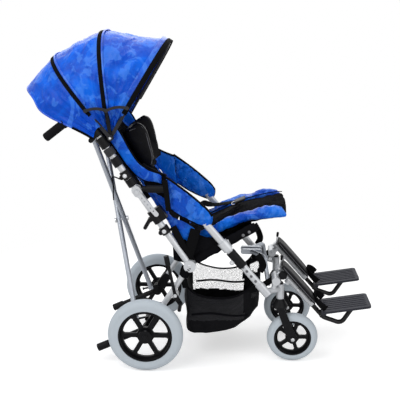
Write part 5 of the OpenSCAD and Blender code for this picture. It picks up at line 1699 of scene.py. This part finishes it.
@dataclass
class HeadSupport(Assembly):
    """Black leatherette head support: a curved back with two thick wings, piped in grey."""

    low: float = 380.0
    high: float = 552.0
    rear: Curve = ((380, 48), (410, 46), (490, 46), (530, 50), (552, 56))
    front: Curve = ((380, 70), (406, 99), (460, 122), (515, 140), (536, 139), (552, 128))
    half: float = 112.0
    wall: float = 27.0
    bend: float = 34.0
    stuffing: Stuffing = Stuffing(cap=4.0, pressure=2.5, slack=0.02, voxel=5.0, frames=12)

    def build(self) -> None:
        """Makes the support, its piping and its strap."""
        steps = 26
        heights = [mix(self.low, self.high, i / steps) for i in range(steps + 1)]
        pairs = [list(zip(self.path(t, 0.0), self.path(t, self.wall))) for t in heights]
        count = len(pairs[0]) - 1

        def point(f: float, v: float) -> Cell:
            """Outer and inner point of the cover."""
            p, q = pairs[round(f * steps)][round(v * count)]
            middle, share = p.lerp(q, 0.5), 0.4 + 0.6 * crown(mix(0.04, 0.99, f), 0.1)
            return middle.lerp(p, share), middle.lerp(q, share)

        made = self.form("head_support_pad", (steps, count), point, Palette.leather, "head_pad")
        self.stuff(made, self.stuffing, 0.85, "head_support", None, dents((60, 60, 60), 2, 1.6), (Palette.leather,))
        for side in Side:
            self.piping(side)
        out = self.at.back(1, 1) - self.at.back(1, 0)
        spots = ((43, -176), (44, -110), (43, 0), (44, 110), (43, 176))
        line = spline([self.at.back(470, off, y) for off, y in spots], 8)
        self.strap("head_support_strap", line, 30.0, Palette.webbing, "head_pad", out, 2.0)

    def path(self, t: float, inset: float) -> list[Vector]:
        """The support's outline across, from one wing's tip to the other's.

        Args:
            t: its height up the back.
            inset: depth below the outer face; 0 is the outer face itself.

        Returns:
            The points.
        """
        half, bend = self.half - inset, self.bend
        base = track(self.rear, t) + inset * 0.9
        tip = track(self.front, t) - (3.0 if inset else 0.0)
        wing = [(mix(tip, base + bend, i / 14), half) for i in range(15)]
        for a in (math.pi / 2 * i / 8 for i in range(1, 8)):
            wing.append((base + bend * (1 - math.sin(a)), half - bend * (1 - math.cos(a))))
        rear = [(base, mix(half - bend, bend - half, i / 14)) for i in range(15)]
        return [self.at.back(t, off, y) for off, y in (*wing, *rear, *((off, -y) for off, y in wing[::-1]))]

    def piping(self, side: Side) -> None:
        """Grey piping up one wing's edge and over its top."""
        s, last = side.value, 534.0
        line = []
        for i in range(31):
            t = mix(392.0, last, i / 30)
            line.append(self.at.back(t, track(self.front, t) - 5.0, s * (self.half + 1.2)))
        for f in (i / 12 for i in range(1, 13)):
            off = mix(track(self.front, last) - 5.0, 84.0, f)
            line.append(self.at.back(mix(last, 545.0, smooth(f)), off, s * (self.half + 1.0)))
        self.tube(f"{side.label}_head_piping", line, 3.4, Palette.trim, "head_pad")


@dataclass
class Basket(Assembly):
    """Under-seat basket: sagging black cloth below, net windows in its upper walls, a bound rim and straps."""

    rear_x: float = 142.0
    front_x: float = 440.0
    rim: Curve = ((142, 318), (180, 284), (240, 264), (300, 260), (360, 274), (405, 312), (440, 376))
    half: float = 186.0
    floor: Curve = ((142, 122), (190, 113), (260, 114), (330, 130), (400, 176), (440, 222))
    around: int = 144
    deep: int = 30
    rings: int = 9

    def build(self) -> None:
        """Makes the walls, the floor, the rim and the straps."""
        self.shell()
        self.tapes()
        self.straps()

    def plan(self, f: float, drop: float) -> tuple[float, float]:
        """Point of the basket seen from above.

        Args:
            f: share of the way round it.
            drop: how far it is drawn in, from 0 at the rim.

        Returns:
            The point's x and y.
        """
        w, a, b = self.half, self.rear_x, self.front_x
        corners = [Vector(c) for c in ((a, -w), (b, -w * 0.86), (b, w * 0.86), (a, w))]
        i, t = int(f % 1.0 * 4.0), f % 1.0 * 4.0 % 1.0
        point = corners[i].lerp(corners[(i + 1) % 4], t)
        pull = 0.1 * max(0.0, 1.0 - min(t, 1.0 - t) * 5.0) ** 2
        return tuple(point.lerp(Vector(((a + b) / 2, 0.0)), pull * 0.9 + drop * 0.045))

    def wall(self, f: float, v: float) -> Vector:
        """Point of the wall at a share round it and down it.

        Args:
            f: share of the way round.
            v: share of the way down.

        Returns:
            The point.
        """
        x, y = self.plan(f, smooth(v) * 1.2)
        z = mix(track(self.rim, x), track(self.floor, x), v)
        sag = 5.0 * math.sin(math.pi * min(1.0, v * 1.05))
        fold = fbm((x / 42.0, y / 60.0 + 3.0, z / 90.0), 3) * 7.0 * smooth((v - 0.3) / 0.25)
        drag = 2.6 * math.sin((x * 0.8 + z * 0.5) / 11.0 + y / 40.0) * smooth((v - 0.38) / 0.3)
        out = Vector((x - (self.rear_x + self.front_x) / 2, y, 0.0)).normalized()
        p = Vector((x, y, z)) + out * (sag + fold + drag)
        p.y = max(-self.half, min(self.half, p.y))
        return p

    def shell(self) -> None:
        """The walls and the floor as one draped form."""
        around, deep, rings = self.around, self.deep, self.rings
        points = [self.wall(j / around, i / deep) for i in range(deep + 1) for j in range(around)]
        uv = [(j / around * 1.3, i / deep * 0.26) for i in range(deep + 1) for j in range(around)]
        hem = points[-around:]
        for s in (i / rings for i in range(1, rings + 1)):
            for j, edge in enumerate(hem):
                x, y = mix(edge.x, 280.0, s), mix(edge.y, 0.0, s)
                z = mix(edge.z, track(self.floor, x), min(1.0, s * 2.5)) - 6.0 * math.sin(math.pi * s * 0.5)
                points.append(Vector((x, y, max(108.0, z + fbm((x / 40.0, y / 40.0, 1.0), 2) * 3.0))))
                uv.append((j / around * 1.3, 0.26 + s * 0.2))
        last = deep + rings
        faces = quads(last + 1, around, wrap=True, flip=True) + lids(last + 1, around)[1:]

        def netted(p: Vector) -> bool:
            """Whether a point is in a net window of a side, of the front or of the rear."""
            window = abs(p.y) > 120.0 and 160.0 < p.x < 378.0 and p.z > 166.0
            front = abs(p.y) > 100.0 and p.x > 405.0 and 260.0 < p.z < 312.0
            return window or front or (p.x < 160.0 and p.z > 250.0 and abs(p.y) < 150.0)

        made = self.mesh(
            "basket_shell", points, faces, Palette.basket, "right_side", uv, second=Palette.net, which=netted
        )
        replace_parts(made, "basket")
        self.sheet(made, 0.9, 1.3, "hung", "right_front_leg")
        self.narrow(made)

    def tapes(self) -> None:
        """The tapes below the nets and the bound edge round the basket's mouth."""
        for side in Side:
            s, name = side.value, f"{side.label}_net_tape"
            places = [mix(172.0, 392.0, i / 30) for i in range(31)]
            line = [(x, s * (self.half - 0.5), 198.0 + 4.0 * math.sin(x / 31.0)) for x in places]
            self.narrow(self.strap(name, line, 9.0, Palette.binding, "right_side", (0, s, 0), 1.6))
        corners = [self.plan(j / 120, 0.0) for j in range(120)]
        line = [(x, y, track(self.rim, x) + 1.0) for x, y in corners]
        section, up = flat_section(9.0, 7.0), (0, 0, 1)
        made = self.sweep("basket_rim", line, section, Palette.binding, "right_side", up, closed=True)
        self.narrow(made)

    def straps(self) -> None:
        """Straps that hold the basket to the frame."""
        for side in Side:
            s, body = side.value, side.body
            for name, spots, width in (
                ("front", [(436, 172, 372), (448, 176, 400), (438, 190, 430), (424, 196, 448)], 26.0),
                ("low", [(398, 168, 292), (430, 172, 306), (470, 168, 330), (492, 164, 344)], 24.0),
                ("rear", [(150, 182, 306), (144, 194, 340), (142, 202, 380), (150, 204, 402)], 24.0),
            ):
                line, name = spline([(x, s * y, z) for x, y, z in spots], 8), f"{side.label}_basket_{name}_strap"
                self.strap(name, line, width, Palette.webbing, body, (0, s, 0.1), 2.0)


@dataclass
class LegRests(Assembly):
    """Calf pads on their boards, heel straps and the small hardware of the leg rests."""

    length: float = 196.0
    width: float = 100.0
    y: float = 150.0
    stuffing: Stuffing = Stuffing(cap=3.0, pressure=2.5, slack=0.02, voxel=4.0, frames=10)

    def build(self) -> None:
        """Makes both leg rests' pads and hardware."""
        for side in Side:
            self.pad(side)
            self.hardware(side)
            self.heel_strap(side)

    def pad(self, side: Side) -> None:
        """One calf pad: leatherette over foam on a thin moulded board."""
        body, node, y0 = f"{side.label}_legrest", f"{side.label}_calf_pad", side.value * self.y

        def cover(u: float, v: float) -> Cell:
            """Front and rear point of the cover."""
            w = (self.width / 2 - 3.0) * (1.0 - 0.16 * abs(2 * u - 1) ** 6)
            full = crown(mix(0.04, 0.96, u), 0.12) * crown(mix(0.04, 0.96, v), 0.18)
            t, y = mix(2.0, self.length - 2.0, u), y0 + mix(-w, w, v)
            dish = 3.0 * (1 - (2 * v - 1) ** 2)
            return self.at.rest(t, 20.0 + 12.0 * full - dish * full, y), self.at.rest(t, 18.0, y)

        def board(u: float, v: float) -> Cell:
            """Front and rear point of the board, whose edges turn forward."""
            w = self.width / 2 * (1.0 - 0.14 * abs(2 * u - 1) ** 6)
            t, y, lip = mix(0.0, self.length, u), y0 + mix(-w, w, v), 2.0 * abs(2 * v - 1) ** 4
            return self.at.rest(t, 17.5 + lip, y), self.at.rest(t, 14.0 + lip * 0.6, y)

        made = self.form(f"{side.label}_calf_cushion", (24, 12), cover, Palette.leather, body)
        self.stuff(made, self.stuffing, 0.9, node, finishes=(Palette.leather,))
        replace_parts(self.form(f"{side.label}_calf_board", (16, 8), board, Palette.plastic, body), node)
        for name, sign in (("outer", 1), ("inner", -1)):
            line = []
            for f in (i / 30 for i in range(31)):
                w = side.value * self.width / 2 * (1.0 - 0.14 * abs(2 * f - 1) ** 6)
                line.append(self.at.rest(mix(4.0, self.length - 4.0, f), 21.0, y0 + sign * w))
            self.tube(f"{side.label}_calf_{name}_piping", line, 3.0, Palette.trim, body)

    def hardware(self, side: Side) -> None:
        """Bolts, a clamping knob and a small release lever."""
        s, body, rest = side.value, f"{side.label}_legrest", self.at.rest
        knob = ((0, 6), (4, 6), (4.5, 15), (7, 17), (14, 17), (16, 15), (16.8, 9), (17, 1))
        bolt = ((0, 6), (3.4, 6), (4.2, 4.6), (4.4, 0.4))
        tip = ((0, 3.5), (2, 5), (16, 5.4), (20, 4.2), (21, 0.5))
        out, black = (0, s, 0), Palette.plastic
        self.turned(f"{side.label}_rest_knob", rest(30, -4, s * 168), out, knob, black, body, 14, slot=None)
        for k, t in enumerate((6.0, 64.0, 120.0)):
            name, place = f"{side.label}_rest_bolt_{k}", rest(t, 0.0, s * 163.0)
            self.turned(name, place, out, bolt, Palette.zinc, body, 6, slot=None)
        lever = spline([rest(8, 2, s * 140), rest(-2, 14, s * 146), rest(-16, 30, s * 150)], 6)
        self.tube(f"{side.label}_release_stem", lever, 6.0, Palette.zinc, body, 10)
        run = (lever[-1] - lever[-2]).normalized()
        self.turned(f"{side.label}_release_tip", lever[-1] - run * 4.0, run, tip, black, body, 14)

    def heel_strap(self, side: Side) -> None:
        """Webbing loop that keeps the heel on its footplate."""
        y0 = side.value * self.y
        half = ((18, 8, 58), (2, 26, 62), (-14, 42, 34))
        spots = [*((t, off, -y) for t, off, y in half), (-18, 46, 0), *half[::-1]]
        line = spline([self.at.plate(t, off, y0 + y) for t, off, y in spots], 8)
        middle = self.at.plate(30.0, 30.0, y0)
        normals = [Vector((q.x - middle.x, q.y - middle.y, 0.0)).normalized() for q in line]
        name, body = f"{side.label}_heel_strap", f"{side.label}_footrest"
        self.strap(name, line, 26.0, Palette.webbing, body, normals)


@dataclass
class Details(Assembly):
    """Bolts, adjusting holes, hub covers, straps and the small fittings of both side frames."""

    hole: Curve = ((0.0, 5.2), (1.6, 5.2), (1.8, 4.6), (1.5, 3.4), (0.8, 3.2), (0.7, 0.3))
    cap: Curve = ((0, 19), (2.5, 19), (4.6, 16.5), (4.8, 12), (6.6, 11), (7.6, 8.5), (7.8, 0.4))
    nut: Curve = ((0, 8), (5.5, 8), (6.5, 6.5), (6.8, 0.4))

    def build(self) -> None:
        """Makes the details of both sides."""
        for side in Side:
            self.bolts(side)
            self.wheels(side)
            self.straps(side)
            self.collars(side)

    def bolts(self, side: Side) -> None:
        """The front leg's adjusting holes, and the bolts of the hinge, the latch and the clamps."""
        s, body, at = side.value, side.body, self.at
        for k, t in enumerate((62.0, 88.0, 114.0, 136.0)):
            place, name = at.leg(t, 0.0, s * (at.side_y + 11.6)), f"{side.label}_leg_hole_{k}"
            self.turned(name, place, (0, s, 0), self.hole, Palette.dark_steel, body, 16)
        for name, p, size, finish in (
            ("hinge", at.back(350.0, 0.0, s * 226.0), 6.0, Palette.zinc),
            ("upper", at.back(424.0, -2.0, s * 226.5), 6.0, Palette.zinc),
            ("lower", at.back(168.0, -2.0, s * 226.5), 6.0, Palette.zinc),
            ("joint", at.back(2.0, 0.0, s * 226.0), 6.0, Palette.zinc),
            ("clamp", at.leg(176.0, -22.0, s * 216.0), 7.5, Palette.zinc),
            ("rail_0", at.rail(234.0, 0.0, s * 198.0), 4.5, Palette.dark_steel),
            ("rail_1", at.rail(260.0, 0.0, s * 198.0), 4.5, Palette.dark_steel),
        ):
            kind, _, number = name.partition("_")
            label = f"{side.label}_{kind}_bolt" + (f"_{number}" if number else "")
            head = [(0, size * 1.35), (1.2, size * 1.35), (1.3, size), (size * 0.45, size * 0.9)]
            head += [(size * 0.62, size * 0.55), (size * 0.5, size * 0.3), (size * 0.4, 0.3)]
            self.turned(label, p, (0, s, 0), head, finish, body, 18)

    def wheels(self, side: Side) -> None:
        """Hub covers of the rear wheels and axle nuts of the front ones."""
        s = side.value
        rear = [corner.y * 1000.0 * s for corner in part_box(f"{side.label}_rear_rim")]
        front = [corner.y * 1000.0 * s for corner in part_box(f"{side.label}_front_rim")]
        place, name = (0.0, s * (max(rear) - 5.0), 145.0), f"{side.label}_hub_cap"
        self.turned(name, place, (0, s, 0), self.cap, Palette.plastic, f"{side.label}_rear_wheel", 32)
        for k, (y, d) in enumerate(((max(front), 1), (min(front), -1))):
            place, name = (569.0, s * (y + d * 8.0), 100.0), f"{side.label}_front_nut_{k}"
            self.turned(name, place, (0, s * d, 0), self.nut, Palette.zinc, f"{side.label}_caster", 6)

    def straps(self, side: Side) -> None:
        """Hip strap, strap round the lower back tube and a loose tail."""
        s, body = side.value, side.body
        end = self.at.back(420.0, -24.0, 214.0)
        for name, spots, width, thick in (
            ("hip_strap", [(190, 199, 548), (182, 206, 520), (168, 210, 470), (154, 211, 424)], 40.0, 2.4),
            ("cross_strap", [(104, 206, 560), (126, 212, 520), (150, 212, 470), (178, 204, 424)], 26.0, 2.4),
            ("strap_tail", [end, (-118, 216, 752), (-116, 217, 720), (-117, 216, 690), (-116, 217, 664)], 5.0, 1.4),
        ):
            line = spline([(x, s * y, z) for x, y, z in spots], 8)
            self.strap(f"{side.label}_{name}", line, width, Palette.webbing, body, (0, s, 0), thick)

    def collars(self, side: Side) -> None:
        """Ribbed grey sleeve under the hood's clamp, and the gaiter over the rear leg's joint."""
        y, body = side.value * self.at.side_y, side.body
        start = self.at.back(513.0, 0.0, y)
        profile = [(0.0, 18.2)]
        for d in (2.0 + k * 5.2 for k in range(5)):
            profile += [(d, 19.6), (d + 2.6, 19.6), (d + 3.2, 18.6), (d + 4.6, 18.6)]
        profile += [(28.4, 18.2), (28.5, 13.0)]
        run, name = self.at.back(541.0, 0.0, y) - start, f"{side.label}_ribbed_collar"
        self.turned(name, start, run, profile, Palette.ribbed, body, 28)
        foot = self.at.back(-4.0, 0.0, y)
        profile = [(0.0, 17.0)]
        for d in (2.0 + k * 8.0 for k in range(6)):
            profile += [(d, 19.0), (d + 4.0, 19.4), (d + 5.4, 17.0), (d + 7.0, 17.0)]
        profile += [(51.0, 16.6), (51.2, 12.8)]
        run, name = Vector((136.0, y, 356.0)) - foot, f"{side.label}_joint_gaiter"
        self.turned(name, foot, run, profile, Palette.fabric, body)


@dataclass
class Studio:
    """Pale floor, soft lamps, white surroundings and the camera."""

    layout: Layout
    azimuth: float = 2.51
    elevation: float = 14.66
    distance: float = 3089.5
    target: tuple[float, float, float] = (197.3, 0.0, 611.0)
    lens: float = 69.34
    radius: float = 1.7

    def build(self) -> None:
        """Makes the stage."""
        self.camera()
        self.floor()
        self.world()
        for name, place, size, power in (
            ("key", (-1.9, -2.0, 3.1), 2.6, 56.0), ("fill", (1.9, -2.6, 1.7), 2.6, 26.0),
            ("top", (0.1, 0.5, 3.4), 2.4, 28.0), ("rear", (-0.6, 2.8, 1.8), 2.4, 20.0),
        ):
            self.lamp(name, place, size, power)
        bpy.context.scene.view_settings.view_transform = "Standard"

    @staticmethod
    def show(name: str, data: bpy.types.ID) -> Thing:
        """Puts an object with some data into the scene."""
        made = bpy.data.objects.new(name, data)
        bpy.context.scene.collection.objects.link(made)
        return made

    def camera(self) -> None:
        """The camera at the photograph's angle."""
        a, e = math.radians(self.azimuth), math.radians(self.elevation)
        back = Vector((math.sin(a) * math.cos(e), -math.cos(a) * math.cos(e), math.sin(e)))
        right = Vector((math.cos(a), math.sin(a), 0.0))
        data = bpy.data.cameras.new("camera")
        data.sensor_fit = "HORIZONTAL"
        data.sensor_width = 36.0
        data.lens = self.lens
        data.clip_end = 100.0
        made = self.show("camera", data)
        turn = Matrix((right, back.cross(right), back)).transposed().to_4x4()
        made.matrix_world = Matrix.Translation(self.layout.row(self.target) + back * (self.distance * 0.001)) @ turn
        bpy.context.scene.camera = made

    def lamp(self, name: str, place: Point, size: float, power: float) -> None:
        """A square soft lamp that looks at the stroller.

        Args:
            name: its name.
            place: where it hangs, in metres.
            size: its side, in metres.
            power: its power, in watts.
        """
        data = bpy.data.lights.new(name, "AREA")
        data.shape = "SQUARE"
        data.size = size
        data.energy = power
        made = self.show(name, data)
        made.location = place
        made.rotation_euler = (Vector((0.0, 0.0, 0.6)) - Vector(place)).to_track_quat("-Z", "Y").to_euler()

    def floor(self) -> None:
        """A pale round floor whose edge fades into the white surroundings."""
        rings, around, z = 24, 96, -0.0004
        points = [(0.0, 0.0, z)]
        for r in (self.radius * i / rings for i in range(1, rings + 1)):
            points += [(x, y, z) for x, y in round_section(r, around)]
        faces = [[0, 1 + j, 1 + (j + 1) % around] for j in range(around)]
        faces += quads(rings, around, wrap=True, base=1, flip=True)
        data = bpy.data.meshes.new("floor")
        data.from_pydata(points, [], faces)
        shader = Shader("floor_white")
        x, y, _ = shader.split(shader.place())
        ray = shader.node("ShaderNodeLightPath", output="Is Camera Ray")
        cloud = shader.noise(shader.place(), 40.0, 3.0)
        white = shader.finish(
            Base_Color=shader.mix(cloud * 0.02, (0.86, 0.86, 0.86), (0.8, 0.8, 0.8)), Roughness=0.9,
            Specular_IOR_Level=0.1, Emission_Color=shader.mix(ray, (0.0, 0.0, 0.0), (0.42, 0.42, 0.42)),
            Emission_Strength=1.0,
            Alpha=1.0 - ((x * x + y * y) ** 0.5).between(self.radius * 0.45, self.radius * 0.97),
        )
        data.materials.append(white)
        self.show("floor", data)

    def world(self) -> None:
        """Plain ambient light, white where the camera, a mirror or glass sees it."""
        world = bpy.data.worlds.new("surroundings")
        shader = Shader("surroundings", world)
        kinds = ("Is Camera Ray", "Is Glossy Ray", "Is Transmission Ray")
        camera, mirror, glass = (shader.node("ShaderNodeLightPath", output=kind) for kind in kinds)
        seen = camera.highest(mirror).highest(glass)
        strength = shader.node("ShaderNodeMapRange", {}, {"Value": seen, "To Min": 0.52, "To Max": 1.0})
        light = shader.node("ShaderNodeBackground", {}, {"Color": (1.0, 1.0, 1.0), "Strength": strength})
        shader.node("ShaderNodeOutputWorld", {}, {"Surface": light})
        bpy.context.scene.world = world


def main() -> None:
    """Builds the stroller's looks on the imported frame."""
    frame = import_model()
    low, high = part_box("left_rear_tyre")
    layout = Layout(shift=-(low.x + high.x) * 500.0)
    LOG.info("the rear axle stands %.1f mm behind the frame's middle", layout.shift)
    Studio(layout).build()
    Rigid(layout, nodes=dict(frame["nodes"])).build()
    for part in (Hood, ArmPads, Back, Seat, HeadSupport, Basket, LegRests, Details):
        part(layout).build()
        LOG.info("%s is done", part.__name__)


if __name__ == "__main__":
    logging.basicConfig(level=logging.INFO, format="%(name)s: %(message)s")
    main()
